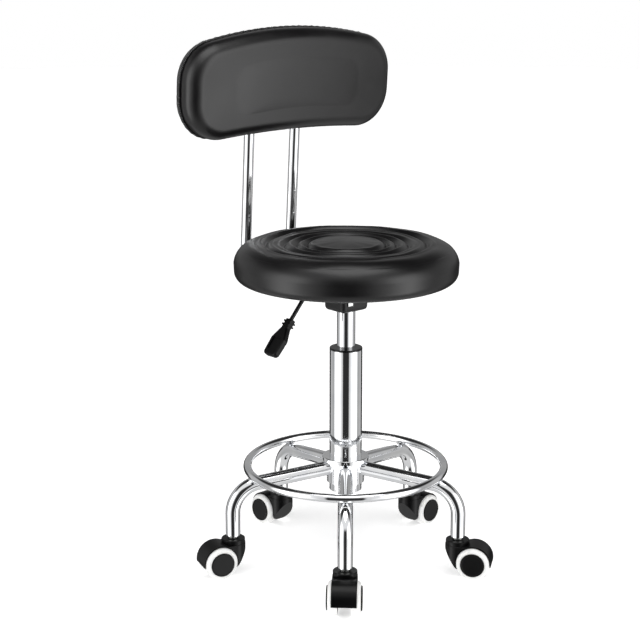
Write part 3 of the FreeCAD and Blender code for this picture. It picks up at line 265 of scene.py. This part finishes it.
# %% Metals
def chrome_finish():
    material, tree, shader = finish("bright_chrome", (0.84, 0.85, 0.86), 0.05, metallic=1.0)
    clouds = grain(tree, 26.0, 5.0)
    vary(tree, shader.inputs["Roughness"], clouds, 0.03, 0.09)
    shade(tree, shader.inputs["Base Color"], clouds, (0.80, 0.81, 0.83), (0.88, 0.885, 0.89))
    bump(tree, shader, [(grain(tree, 60.0, 2.0), 0.0002, 0.06),
                        (grain(tree, 2200.0, 2.0), 0.00002, 0.10)])
    return material


def metal_finish(name, colour, rough, grain_scale, stretch=None):
    """Plated or ground small steel parts."""
    dark = tuple(0.82 * c for c in colour)
    material, tree, shader = finish(name, colour, rough, metallic=1.0)
    scratches = grain(tree, grain_scale, 4.0, stretch=stretch)
    vary(tree, shader.inputs["Roughness"], scratches, rough * 0.7, rough * 1.35)
    shade(tree, shader.inputs["Base Color"], scratches, dark, colour)
    bump(tree, shader, [(scratches, 0.00005, 0.25)])
    return material


CHROME = chrome_finish()
ZINC = metal_finish("bright_zinc_plate", (0.80, 0.81, 0.80), 0.22, 500.0)
BEARING = metal_finish("ground_bearing_steel", (0.62, 0.62, 0.63), 0.18, 300.0, (1, 1, 12))
print("metals", CHROME.name, ZINC.name, BEARING.name)


# %% Plastics and paint
def black_finish(name, dark, light, rough, grain_scale, grain_depth, cloud_scale=9.0, **fixed):
    """Black plastic or paint: fine even grain, slow changes of gloss, a trace of dust."""
    material, tree, shader = finish(name, light, rough, **fixed)
    slow = grain(tree, cloud_scale, 4.0)
    fine = grain(tree, grain_scale, 2.0)
    vary(tree, shader.inputs["Roughness"], slow, rough * 0.85, rough * 1.2)
    shade(tree, shader.inputs["Base Color"], slow, dark, light)
    bump(tree, shader, [(grain(tree, 45.0, 2.0), 0.0004, 0.10), (fine, grain_depth, 0.35)])
    return material


PLASTIC = black_finish("black_moulded_nylon", (0.0014, 0.0014, 0.0016),
                       (0.0026, 0.0026, 0.0028), 0.30, 1900.0, 0.00006, Specular_IOR_Level=0.18)
HUB_CAP = black_finish("black_wheel_nylon", (0.0025, 0.0025, 0.0027),
                       (0.0045, 0.0045, 0.0048), 0.34, 2300.0, 0.00004, Specular_IOR_Level=0.20)
ACETAL = black_finish("black_acetal", (0.004, 0.004, 0.0045), (0.007, 0.007, 0.0075), 0.24, 1500.0,
                      0.00003, Specular_IOR_Level=0.30)
PAINT = black_finish("black_powder_coat", (0.005, 0.005, 0.0055), (0.009, 0.009, 0.0095), 0.32,
                     700.0, 0.00008, Specular_IOR_Level=0.30)


def tyre_finish():
    material, tree, shader = finish("white_polyurethane", (0.80, 0.80, 0.79), 0.42,
                                    Subsurface_Weight=0.06)
    shader.inputs["Subsurface Radius"].default_value = (0.002, 0.0018, 0.0015)
    scuff = grain(tree, 90.0, 6.0)
    vary(tree, shader.inputs["Roughness"], scuff, 0.34, 0.55)
    shade(tree, shader.inputs["Base Color"], scuff, (0.70, 0.70, 0.69), (0.83, 0.83, 0.82),
          0.2, 0.5)
    bump(tree, shader, [(grain(tree, 1400.0, 2.0), 0.00005, 0.25)])
    return material


def plywood_finish():
    material, tree, shader = finish("birch_plywood", (0.52, 0.37, 0.22), 0.6)
    veneer = grain(tree, 30.0, 6.0, stretch=(1, 9, 9))
    pores = grain(tree, 320.0, 3.0, stretch=(0.15, 3, 3))
    shade(tree, shader.inputs["Base Color"], veneer, (0.40, 0.27, 0.15), (0.60, 0.44, 0.28))
    vary(tree, shader.inputs["Roughness"], pores, 0.5, 0.75)
    bump(tree, shader, [(veneer, 0.0002, 0.2), (pores, 0.0001, 0.5)])
    return material


def foam_finish():
    material, tree, shader = finish("cut_foam", (0.70, 0.62, 0.36), 0.9)
    pores = grain(tree, 900.0, kind="ShaderNodeTexVoronoi")
    shade(tree, shader.inputs["Base Color"], pores, (0.52, 0.45, 0.24), (0.74, 0.66, 0.40),
          0.1, 0.6)
    bump(tree, shader, [(pores, 0.0006, 0.6)])
    return material


TYRE = tyre_finish()
BLACK_BOARD = black_finish("black_stained_plywood", (0.010, 0.010, 0.010), (0.018, 0.017, 0.016),
                           0.55, 260.0, 0.00015, cloud_scale=20.0)
PLYWOOD = plywood_finish()
FOAM = foam_finish()
print("plastics", PLASTIC.name, HUB_CAP.name, ACETAL.name, PAINT.name, TYRE.name)


# %% Leathercloth and thread
PEBBLE = 820.0


def leather_finish():
    """Coated cloth: small pebbles, slow changes in gloss, a soft grey bloom."""
    material, tree, shader = finish("black_leathercloth", (0.006, 0.0055, 0.006), 0.34,
                                    Specular_IOR_Level=0.45)
    pebbles = grain(tree, PEBBLE, kind="ShaderNodeTexVoronoi", feature="SMOOTH_F1")
    slow = grain(tree, 14.0, 5.0)
    shade(tree, shader.inputs["Base Color"], slow, (0.0022, 0.0020, 0.0023),
          (0.0040, 0.0037, 0.0040))
    vary(tree, shader.inputs["Roughness"], slow, 0.29, 0.38)
    bump(tree, shader, [(grain(tree, 75.0, 3.0), 0.0005, 0.10), (pebbles, 0.00016, 0.30)])
    return material


def thread_finish():
    material, tree, shader = finish("black_thread", (0.05, 0.05, 0.052), 0.55, Sheen_Weight=0.3)
    twist = grain(tree, 1600.0, kind="ShaderNodeTexWave")
    shade(tree, shader.inputs["Base Color"], twist, (0.02, 0.02, 0.021), (0.09, 0.09, 0.092))
    bump(tree, shader, [(twist, 0.0002, 0.6)])
    return material


LEATHER = leather_finish()
THREAD = thread_finish()
print("leathercloth", LEATHER.name)

# %% [markdown]
# The floor is a matt pale sheet. It is bright enough to melt into the backdrop, so only the
# soft shadow under the casters tells that it is there.

# %% Dress the floor
floor_material, floor_tree, floor_shader = finish("pale_floor", (0.93, 0.93, 0.93), 0.75)
shade(floor_tree, floor_shader.inputs["Base Color"], grain(floor_tree, 3.0), (0.92, 0.92, 0.92),
      (0.94, 0.94, 0.94))
floor_shader.inputs["Emission Color"].default_value = (1, 1, 1, 1)
floor_shader.inputs["Emission Strength"].default_value = FLOOR_GLOW
floor.data.materials.append(floor_material)

# %% [markdown]
# The solids keep their shapes. Each only swaps its plain colour for a finish, chosen by the
# first words of its name, so the five legs and ten wheels need no lines of their own.

# %% Dress the frame
DRESS = (
    (HUB_CAP, ("_left_hub", "_right_hub")),
    (CHROME, ("column_tube", "lift_rod", "lift_cylinder", "hub", "leg_", "foot_ring",
              "stem_sockets", "back_tube")),
    (ZINC, ("rod_clip", "valve_pin", "caster_stems", "lever_pin", "seat_screws",
            "mechanism_socket", "axle")),
    (BEARING, ("thrust_bearing",)),
    (PAINT, ("mechanism_box", "lever_rod", "tube_clamps")),
    (ACETAL, ("column_guide_bush",)),
    (PLASTIC, ("lever_handle", "hood")),
    (TYRE, ("tyre",)),
    (PLYWOOD, ("back_board",)),
    (BLACK_BOARD, ("seat_board",)),
    (FOAM, ("seat_foam", "back_foam")),
    (LEATHER, ("seat_cover", "back_cover")),
)


def wears(name, key):
    if key.startswith("_"):
        return name.endswith(key)
    return name == key or name.startswith(key) or name.endswith("_" + key)


dressed = {}
for material, keys in DRESS:
    for name, thing in NODES.items():
        if name not in dressed and any(wears(name, key) for key in keys):
            thing.data.materials.clear()
            thing.data.materials.append(material)
            dressed[name] = material.name
print("dressed", len(dressed), "of", len(NODES), "solids; bare:", sorted(set(NODES) - set(dressed)))

# %% [markdown]
# A stuffed seat is leathercloth pulled over foam. The honest way to get its slightly blown-up
# shape is to let Blender's cloth do it: a closed skin, a little smaller than the finished one,
# is pumped up for twenty frames while the part that is stapled to the board is held still. The
# swelling is then read off that coarse skin and laid on a fine, regular mesh, because the
# pressed rings and seams are narrower than the coarse skin's squares.

# %% Pump up a skin
SWELL_FRAMES = 20
SWELL_PRESSURE = 4.0
CLOTH_MASS = 0.35
CLOTH_STRETCH = 25.0
CLOTH_BEND = 2.0


def skin_object(name, corners, faces):
    mesh = bpy.data.meshes.new(name)
    mesh.from_pydata(corners, [], faces)
    mesh.validate()
    return add_object(name, mesh)


def apply_modifier(thing, kind, **settings):
    modifier = thing.modifiers.new(kind.lower(), kind)
    for name, setting in settings.items():
        setattr(modifier, name, setting)
    with bpy.context.temp_override(object=thing, active_object=thing):
        bpy.ops.object.modifier_apply(modifier=modifier.name)


def co_array(mesh):
    flat = np.zeros(len(mesh.vertices) * 3)
    mesh.vertices.foreach_get("co", flat)
    return flat.reshape(-1, 3)


def pump_up(name, corners, faces, held, square, most):
    """Swells a closed skin and gives it back as an object in the same place."""
    thing = skin_object(name, corners, faces)
    apply_modifier(thing, "REMESH", mode="VOXEL", voxel_size=square)
    start = co_array(thing.data)
    group = thing.vertex_groups.new(name="held")
    group.add([k for k, place in enumerate(start) if held(place)], 1.0, "REPLACE")
    cloth = thing.modifiers.new("cloth", "CLOTH")
    cloth.settings.use_pressure = True
    cloth.settings.uniform_pressure_force = SWELL_PRESSURE
    cloth.settings.vertex_group_mass = group.name
    cloth.settings.effector_weights.gravity = 0.0
    cloth.settings.mass = CLOTH_MASS
    cloth.settings.tension_stiffness = CLOTH_STRETCH
    cloth.settings.compression_stiffness = CLOTH_STRETCH
    cloth.settings.bending_stiffness = CLOTH_BEND
    cloth.point_cache.frame_start = 1
    cloth.point_cache.frame_end = SWELL_FRAMES
    for step in range(1, SWELL_FRAMES + 1):
        SCENE.frame_set(step)
    evaluated = thing.evaluated_get(bpy.context.evaluated_depsgraph_get())
    pumped = co_array(evaluated.data)
    thing.modifiers.remove(cloth)
    SCENE.frame_set(1)
    moved = pumped - start
    length = np.linalg.norm(moved, axis=1, keepdims=True)
    capped = start + moved * np.minimum(1.0, most / np.maximum(length, 1e-9))
    thing.data.vertices.foreach_set("co", capped.ravel())
    thing.data.update()
    print(name, "swelled by up to", round(float(length.max()) * 1000, 1), "mm, kept",
          round(float(np.minimum(length, most).mean()) * 1000, 2), "mm on average")
    return thing


def smooth_field(field, times):
    """Averages a grid of numbers with its neighbours; rows run round the piece."""
    for _ in range(times):
        field = (np.roll(field, 1, 0) + 2 * field + np.roll(field, -1, 0)) / 4
        padded = np.pad(field, ((0, 0), (1, 1)), mode="edge")
        field = (padded[:, :-2] + 2 * padded[:, 1:-1] + padded[:, 2:]) / 4
    return field


def swelling(thing, places, normals, reach=0.03):
    """How far the pumped skin stands beyond each place, measured along its normal."""
    tree = BVHTree.FromObject(thing, bpy.context.evaluated_depsgraph_get())
    found = np.zeros(places.shape[:2])
    for index in np.ndindex(found.shape):
        start = Vector(places[index] + normals[index] * reach)
        hit = tree.ray_cast(start, Vector(-normals[index]), 3 * reach)
        found[index] = reach - hit[3] if hit[0] is not None else np.nan
    found[np.isnan(found)] = np.nanmedian(found)
    return found


# %% [markdown]
# The seat is round, so its skin is a profile turned round the column. The profile runs from the
# middle of the top, over the crowned edge, down the side and under the board, where the cloth is
# stapled. Four rings are pressed into the top and leave a dome in the middle. Each pressed line
# is a rounded valley with a small lip on both sides.

# %% The seat's profile
seat_low, seat_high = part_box("seat_cover")
SEAT_RADIUS = seat_high.x
SEAT_TOP = seat_high.z
SEAT_FOOT = seat_low.z
EDGE_TOP = 0.034
EDGE_FOOT = 0.016
SIDE_DRAFT = 0.0035
WRAP = 0.018
CROWN_FALL = 0.004
RINGS = ((0.0605, 0.0062), (0.0755, 0.0046), (0.0935, 0.0050), (0.1205, 0.0052))
RING_HALF = 0.0052
LIP_RISE = 0.0009
DOME_RISE = 0.0045


def arc_points(centre, radius, start, stop, count):
    """Points on an arc, angles in degrees from the +X side, anticlockwise."""
    return [(centre[0] + radius * math.cos(math.radians(start + (stop - start) * k / count)),
             centre[1] + radius * math.sin(math.radians(start + (stop - start) * k / count)))
            for k in range(count + 1)]


def seat_outline(shrink=0.0):
    """The seat's profile from the middle of the top to the end of the wrap: (radius, height)."""
    radius = SEAT_RADIUS - shrink
    top = SEAT_TOP - shrink
    foot = SEAT_FOOT + shrink
    shoulder = radius - EDGE_TOP
    points = [(shoulder * k / 90, top) for k in range(90)]
    points += arc_points((shoulder, top - EDGE_TOP), EDGE_TOP, 90, 8, 26)
    end = radius - EDGE_FOOT
    points += arc_points((end - SIDE_DRAFT / 4, foot + EDGE_FOOT), EDGE_FOOT, 0, -90, 14)
    points += [(end - WRAP * k / 8, foot) for k in range(1, 9)]
    return np.array(points)


def even_spacing(points, count):
    """The same line with count points at equal steps along it."""
    steps = np.linalg.norm(np.diff(points, axis=0), axis=1)
    along = np.concatenate([[0], np.cumsum(steps)])
    wanted = np.linspace(0, along[-1], count)
    return np.stack([np.interp(wanted, along, points[:, k]) for k in range(points.shape[1])], 1)


def side_normals(points):
    """Normals on the left of a line's direction of travel, in its own plane."""
    along = np.gradient(points, axis=0)
    normals = np.stack([-along[:, 1], along[:, 0]], 1)
    return normals / np.linalg.norm(normals, axis=1, keepdims=True)


def turned_grid(profile, count):
    """Points of a profile turned round the column: [turn, along the profile]."""
    angles = np.arange(count) * 2 * math.pi / count
    grid = np.zeros((count, len(profile), 3))
    grid[:, :, 0] = np.cos(angles)[:, None] * profile[None, :, 0]
    grid[:, :, 1] = np.sin(angles)[:, None] * profile[None, :, 0]
    grid[:, :, 2] = profile[None, :, 1]
    return grid


def grid_faces(rows, columns):
    """Squares of a grid whose last row meets its first."""
    faces = []
    for i in range(rows):
        after = (i + 1) % rows
        for j in range(columns - 1):
            faces.append((i * columns + j, i * columns + j + 1, after * columns + j + 1,
                          after * columns + j))
    return faces


def mesh_from_grid(name, grid, material, thickness=None):
    """A smooth skin through a grid of points, made thicker inwards if asked."""
    rows, columns = grid.shape[:2]
    thing = skin_object(name, grid.reshape(-1, 3).tolist(), grid_faces(rows, columns))
    cleaned = bmesh.new()
    cleaned.from_mesh(thing.data)
    bmesh.ops.remove_doubles(cleaned, verts=cleaned.verts, dist=1e-6)
    bmesh.ops.recalc_face_normals(cleaned, faces=cleaned.faces)
    cleaned.to_mesh(thing.data)
    cleaned.free()
    thing.data.polygons.foreach_set("use_smooth", [True] * len(thing.data.polygons))
    thing.data.materials.append(material)
    if thickness:
        apply_modifier(thing, "SOLIDIFY", thickness=thickness, offset=-1)
    return thing


# %% Pump up the seat
START_SMALLER = 0.0028
shell_profile = even_spacing(seat_outline(START_SMALLER), 60)
shell_profile = np.vstack([shell_profile, [(0.0, SEAT_FOOT + START_SMALLER)]])
shell = turned_grid(shell_profile, 96)
seat_shell = pump_up("seat_shell", shell.reshape(-1, 3).tolist(), grid_faces(96, 61),
                     lambda place: place[2] < SEAT_FOOT + 0.011, 0.006, 0.0045)
print("seat shell has", len(seat_shell.data.vertices), "points")

# %% Lay the swelling on a fine skin and press the rings
SEAT_TURNS = 288
SEAT_STEPS = 300
READ_STEP = 3
MOST_LIFT = 0.0012
PLEATS = 46
PLEAT_DEPTH = 0.0007
HELD_SLACK = 0.0008
fine_profile = even_spacing(seat_outline(), SEAT_STEPS)
fine_profile[0, 0] = 0.0
profile_normals = side_normals(fine_profile)
profile_normals *= np.sign(profile_normals[0, 1])
turn_angles = np.arange(SEAT_TURNS) * 2 * math.pi / SEAT_TURNS


def turned_normals(normals, angles):
    return np.stack([np.cos(angles)[:, None] * normals[None, :, 0],
                     np.sin(angles)[:, None] * normals[None, :, 0],
                     np.repeat(normals[None, :, 1], len(angles), 0)], 2)


seat_grid = turned_grid(fine_profile, SEAT_TURNS)
seat_normals = turned_normals(profile_normals, turn_angles)
read = swelling(seat_shell, seat_grid[::READ_STEP, ::READ_STEP],
                seat_normals[::READ_STEP, ::READ_STEP])
read = smooth_field(read, 5)
read = np.repeat(read, READ_STEP, 0)
columns_read = np.arange(0, SEAT_STEPS, READ_STEP)
lift = np.array([np.interp(np.arange(SEAT_STEPS), columns_read, row) for row in read])
lift = smooth_field(lift, 8)
held_share = np.clip((SEAT_TOP - 0.012 - fine_profile[:, 1]) / 0.030, 0, 1)
lift = np.clip(lift + START_SMALLER * held_share, -HELD_SLACK, MOST_LIFT)
pole_share = np.clip(1 - fine_profile[:, 0] / 0.030, 0, 1)
lift += (lift[:, :30].mean() - lift) * pole_share
bpy.data.objects.remove(seat_shell)


def pressed_rings(radius):
    """Height lost or gained across the top because of the pressed rings."""
    change = np.zeros_like(radius)
    for place, depth in RINGS:
        away = (radius - place) / RING_HALF
        change -= depth * np.exp(-np.abs(away) ** 1.7 * 1.5)
        change += LIP_RISE * np.exp(-((np.abs(away) - 1.75) / 0.7) ** 2)
    return change


radii = fine_profile[:, 0]
on_top = (np.arange(SEAT_STEPS) < np.argmax(radii > SEAT_RADIUS - 0.012)).astype(float)
dome = DOME_RISE * np.clip(1 - (radii / RINGS[0][0]) ** 2, 0, 1)
well = -CROWN_FALL * np.clip((RINGS[3][0] + 0.008 - radii) / 0.02, 0, 1) ** 0.8
relief = (pressed_rings(radii) + dome + well) * on_top
low_zone = np.clip((np.arange(SEAT_STEPS) - (SEAT_STEPS - 26)) / 18, 0, 1)
pleats = PLEAT_DEPTH * np.sin(turn_angles * PLEATS)[:, None] * low_zone[None, :]
wander = 0.00035 * np.sin(turn_angles * 5 + 0.7)[:, None] + 0.00025 * np.sin(
    turn_angles * 11 + 2.1)[:, None]
wander = wander * (1 - np.exp(-(radii / 0.05) ** 2))[None, :] * on_top[None, :]
seat_grid += seat_normals * (lift + relief[None, :] + pleats + wander)[:, :, None]
seat_cushion = mesh_from_grid("seat_cushion", seat_grid, LEATHER, thickness=0.0012)
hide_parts("seat_cover", "seat_foam")
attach(seat_cushion, "seat")
print("seat cushion top", round(float(seat_grid[:, :, 2].max()), 4), "lift from",
      round(float(lift.min()) * 1000, 2), "to", round(float(lift.max()) * 1000, 2), "mm")

# %% [markdown]
# Under the seat the cloth is turned over the edge of the board and fixed with a ring of wire
# staples. They are hardly seen, but the underside is part of the object too.

# %% Staples under the seat
STAPLES = 44
STAPLE_WIDTH = 0.0095
STAPLE_WIRE = 0.00055
staple_radius = SEAT_RADIUS - EDGE_FOOT - WRAP * 0.62


def rod_mesh(maker, points, radius, sides=8, closed=False):
    """Adds a round wire along points to a bmesh; an open wire gets a flat cap at each end."""
    points = [Vector(p) for p in points]
    rings = []
    count = len(points)
    for k, place in enumerate(points):
        before = points[(k - 1) % count] if closed or k else place
        after = points[(k + 1) % count] if closed or k < count - 1 else place
        along = (after - before).normalized()
        across = along.cross(Vector((0, 0, 1)) if abs(along.z) < 0.9 else Vector((1, 0, 0)))
        across.normalize()
        third = along.cross(across)
        turns = [2 * math.pi * s / sides for s in range(sides)]
        rings.append([maker.verts.new(place + radius * (math.cos(t) * across + math.sin(t) * third))
                      for t in turns])
    pairs = list(zip(rings, rings[1:] + rings[:1])) if closed else list(zip(rings, rings[1:]))
    for one, other in pairs:
        for s in range(sides):
            maker.faces.new((one[s], one[(s + 1) % sides], other[(s + 1) % sides], other[s]))
    if not closed:
        maker.faces.new(rings[0][::-1])
        maker.faces.new(rings[-1])


def finished_mesh(name, maker, material, body):
    bmesh.ops.recalc_face_normals(maker, faces=maker.faces)
    mesh = bpy.data.meshes.new(name)
    maker.to_mesh(mesh)
    maker.free()
    mesh.polygons.foreach_set("use_smooth", [True] * len(mesh.polygons))
    mesh.materials.append(material)
    thing = add_object(name, mesh)
    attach(thing, body)
    return thing


maker = bmesh.new()
for k in range(STAPLES):
    angle = 2 * math.pi * (k + 0.3 * math.sin(3.1 * k)) / STAPLES
    middle = Vector((staple_radius * math.cos(angle), staple_radius * math.sin(angle),
                     SEAT_FOOT - 0.0003))
    tangent = Vector((-math.sin(angle), math.cos(angle), 0))
    half = tangent * STAPLE_WIDTH / 2
    up = Vector((0, 0, 0.0016))
    rod_mesh(maker, [middle - half + up, middle - half * 0.97, middle - half * 0.8,
                     middle + half * 0.8, middle + half * 0.97, middle + half + up], STAPLE_WIRE)
staples = finished_mesh("seat_staples", maker, ZINC, "seat")
print("staples", STAPLES)

# %% [markdown]
# The back pad is a bean: a long shallow arc on top, round ends and a slightly hollow foot. Its
# front is a panel of leathercloth sewn to a back panel along a corded seam. The front is pumped
# up like the seat; afterwards the skin is drawn in along the seam, and the cord and the slanting
# stitches are laid on it.

# %% The pad's own axes
PAD_LEAN = math.radians(3.7)
PAD_TOP = 0.0805
PAD_WIDE = 0.196
PAD_DEPTH = 0.050
PAD_TOP_RADIUS = 0.740
PAD_CORNER = 0.060
PAD_LOW_CENTRE = -0.020
PAD_FOOT = -0.074

lean = Matrix.Rotation(PAD_LEAN, 3, "X")
upright = co_array(NODES["back_cover"].data) @ np.array(lean)
pad_box = upright.min(0), upright.max(0)
pad_middle = (pad_box[0] + pad_box[1]) / 2
pad_middle[2] = pad_box[1][2] - PAD_TOP
to_pad = Matrix.Translation(lean @ Vector(pad_middle)) @ lean.to_4x4()
print("pad measures", [round(c, 4) for c in pad_box[1] - pad_box[0]], "leaning 3.7 degrees")


def bean_outline(count, inset=0.0):
    """Even points round the pad's outline, clockwise seen from the sitter, as (across, up)."""
    wide = PAD_WIDE - PAD_CORNER
    turn = math.degrees(math.asin(wide / (PAD_TOP_RADIUS - PAD_CORNER)))
    top_centre = PAD_TOP - PAD_TOP_RADIUS
    corner_up = top_centre + (PAD_TOP_RADIUS - PAD_CORNER) * math.cos(math.radians(turn))
    rise = PAD_LOW_CENTRE - PAD_FOOT
    foot_radius = (wide ** 2 + rise ** 2 - PAD_CORNER ** 2) / (2 * (PAD_CORNER - rise))
    foot_turn = math.degrees(math.atan2(wide, foot_radius + rise))
    corner = PAD_CORNER - inset
    half = arc_points((0, top_centre), PAD_TOP_RADIUS - inset, 90, 90 - turn, 60)
    half += arc_points((wide, corner_up), corner, 90 - turn, 0, 40)
    half += arc_points((wide, PAD_LOW_CENTRE), corner, 0, -90 - foot_turn, 40)
    half += arc_points((0, PAD_FOOT - foot_radius), foot_radius + inset, 90 - foot_turn, 90, 60)
    half = np.array(half)
    other = half[::-1] * (-1, 1)
    whole = np.vstack([half, other[1:]])
    return even_spacing(whole, count + 1)[:-1]


PAD_TURNS = 400
FRONT_RIM = 0.020
BACK_RIM = 0.010
outline = bean_outline(PAD_TURNS)
outline_out = np.roll(outline, -1, 0) - np.roll(outline, 1, 0)
outline_out = np.stack([-outline_out[:, 1], outline_out[:, 0]], 1)
outline_out /= np.linalg.norm(outline_out, axis=1, keepdims=True)
if (outline_out * outline).sum() < 0:
    outline_out = -outline_out


def pad_rows(shrink=0.0):
    """Cross-section of the pad's rim as (inset from the outline, depth), front middle to back."""
    half = PAD_DEPTH / 2 - shrink
    front = arc_points((FRONT_RIM, -half + FRONT_RIM), FRONT_RIM - shrink, -90, -180, 20)
    back = arc_points((BACK_RIM, half - BACK_RIM), BACK_RIM - shrink, 180, 90, 10)
    return front + back


def pad_grid(rows, shares_front, shares_back, turns=None):
    """Skin of the pad: rings that shrink to the middle in front, the rim, and rings behind."""
    turns = turns or PAD_TURNS
    step = PAD_TURNS // turns
    edge, out = outline[::step], outline_out[::step]
    columns = []
    first_inset, first_depth = rows[0]
    last_inset, last_depth = rows[-1]
    for share in shares_front:
        ring = (edge - out * first_inset) * share
        columns.append(np.column_stack([ring[:, 0], np.full(len(ring), first_depth), ring[:, 1]]))
    for inset, depth in rows:
        ring = edge - out * inset
        columns.append(np.column_stack([ring[:, 0], np.full(len(ring), depth), ring[:, 1]]))
    for share in shares_back:
        ring = (edge - out * last_inset) * share
        columns.append(np.column_stack([ring[:, 0], np.full(len(ring), last_depth), ring[:, 1]]))
    return np.stack(columns, 1)


# %% Pump up the pad
PAD_SMALLER = 0.0028
front_shares = [0.0] + [k / 12 for k in range(1, 12)]
pad_shell_grid = pad_grid(pad_rows(PAD_SMALLER), front_shares, front_shares[::-1], 200)
pad_shell = pump_up("pad_shell", pad_shell_grid.reshape(-1, 3).tolist(),
                    grid_faces(*pad_shell_grid.shape[:2]),
                    lambda place: place[1] > PAD_DEPTH / 2 - 0.010, 0.005, 0.006)
print("pad shell has", len(pad_shell.data.vertices), "points")

# %% Lay the swelling on a fine skin and draw in the seam
SEAM_DEPTH = 0.0095
SEAM_PULL = 0.0022
SEAM_HALF = 0.006
BACK_STEP = 0.0016
PAD_CROWN = 0.0075
fine_shares = [0.0] + [k / 46 for k in range(1, 46)]
fine_rim = even_spacing(np.array(pad_rows()), 56).tolist()
fine_grid = pad_grid(fine_rim, fine_shares, fine_shares[::-1])
ahead = np.gradient(fine_grid, axis=1)
around = np.roll(fine_grid, -1, 0) - np.roll(fine_grid, 1, 0)
fine_normals = np.cross(ahead, around)
fine_normals[:, :2] = (0, -1, 0)
fine_normals[:, -2:] = (0, 1, 0)
flip = np.sign((fine_normals[:, 60] * fine_grid[:, 60]).sum(1).mean())
fine_normals[:, 2:-2] *= flip
fine_normals /= np.maximum(np.linalg.norm(fine_normals, axis=2, keepdims=True), 1e-12)
pad_read = swelling(pad_shell, fine_grid[::4, ::2], fine_normals[::4, ::2], 0.02)
pad_read = smooth_field(pad_read, 60)
columns = np.arange(fine_grid.shape[1])
pad_lift = np.array([np.interp(columns, columns[::2], row)
                     for row in np.repeat(pad_read, 4, 0)])
pad_lift = smooth_field(pad_lift, 10)
held_share = np.clip((fine_grid[:, :, 1] + 0.010) / 0.020, 0, 1)
pad_lift = np.clip(pad_lift + PAD_SMALLER * held_share, -HELD_SLACK, 0.003)
pole_share = np.clip(1 - columns / 12, 0, 1)
pad_lift += (pad_lift[:, :12].mean() - pad_lift) * pole_share
bpy.data.objects.remove(pad_shell)

depth_here = fine_grid[:, :, 1]
near_rim = (columns >= len(fine_shares)) & (columns < len(fine_shares) + len(fine_rim))
on_front = (columns < len(fine_shares) + len(fine_rim) // 2)[None, :]
from_rim = np.clip(-depth_here / (PAD_DEPTH / 2), 0, 1) * on_front
across, up = fine_grid[:, :, 0] / PAD_WIDE, fine_grid[:, :, 2] / PAD_TOP
crown = PAD_CROWN * (1 - across ** 2) * np.clip(1 - 0.45 * up ** 2, 0, 1) * from_rim ** 2
seam_away = (depth_here - SEAM_DEPTH) / SEAM_HALF
seam_draw = -SEAM_PULL * np.exp(-seam_away ** 2) * near_rim[None, :]
behind_seam = -BACK_STEP * np.clip((depth_here - SEAM_DEPTH) / 0.004, 0, 1) * near_rim[None, :]
pull_angles = np.arange(PAD_TURNS) * 2 * math.pi / PAD_TURNS
puckers = 0.00028 * np.sin(pull_angles * 80)[:, None] * np.exp(-(seam_away / 1.6) ** 2) * near_rim
fine_grid += fine_normals * (pad_lift + crown + seam_draw + behind_seam + puckers)[:, :, None]
back_pad = mesh_from_grid("back_pad", fine_grid, LEATHER)
back_pad.matrix_world = to_pad
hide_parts("back_cover", "back_foam")
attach(back_pad, "seat")
print("back pad lift from", round(float(pad_lift.min()) * 1000, 2), "to",
      round(float(pad_lift.max()) * 1000, 2), "mm")

# %% Seam cord and stitches
CORD_RADIUS = 0.0021
STITCH_PITCH = 0.0062
STITCH_RADIUS = 0.00045
STITCH_REACH = 0.0030
STITCH_SLANT = 0.0016
seam_column = int(np.argmin(np.abs(depth_here[0] - SEAM_DEPTH) + (~near_rim) * 1.0))
seam_line = fine_grid[:, seam_column]
seam_out = fine_normals[:, seam_column]
cord_line = seam_line + seam_out * CORD_RADIUS * 0.55

maker = bmesh.new()
rod_mesh(maker, [tuple(p) for p in cord_line], CORD_RADIUS, sides=12, closed=True)
cord = finished_mesh("back_pad_cord", maker, LEATHER, "seat")
cord.matrix_world = to_pad

seam_length = np.linalg.norm(np.roll(cord_line, -1, 0) - cord_line, axis=1).sum()
stitch_count = int(seam_length / STITCH_PITCH)
looped = np.vstack([cord_line, cord_line[:1]])
looped_out = np.vstack([seam_out, seam_out[:1]])
stitch_places = even_spacing(np.hstack([looped, looped_out]), stitch_count + 1)[:-1]
maker = bmesh.new()
for k, row in enumerate(stitch_places):
    place, out = Vector(row[:3]), Vector(row[3:]).normalized()
    after = Vector(stitch_places[(k + 1) % stitch_count][:3])
    along = (after - place).normalized()
    back = along.cross(out).normalized()
    if back.y < 0:
        back = -back
    path = []
    for step in range(-3, 4):
        share = step / 3
        bend = math.cos(share * 1.15)
        path.append(place + back * STITCH_REACH * math.sin(share * 1.15) / math.sin(1.15)
                    + along * STITCH_SLANT * share
                    + out * (CORD_RADIUS + 0.0002) * (bend * 1.12 - 0.10))
    rod_mesh(maker, path, STITCH_RADIUS, sides=6)
stitches = finished_mesh("back_pad_stitches", maker, THREAD, "seat")
stitches.matrix_world = to_pad
print("seam", round(float(seam_length), 3), "m with", stitch_count, "stitches")
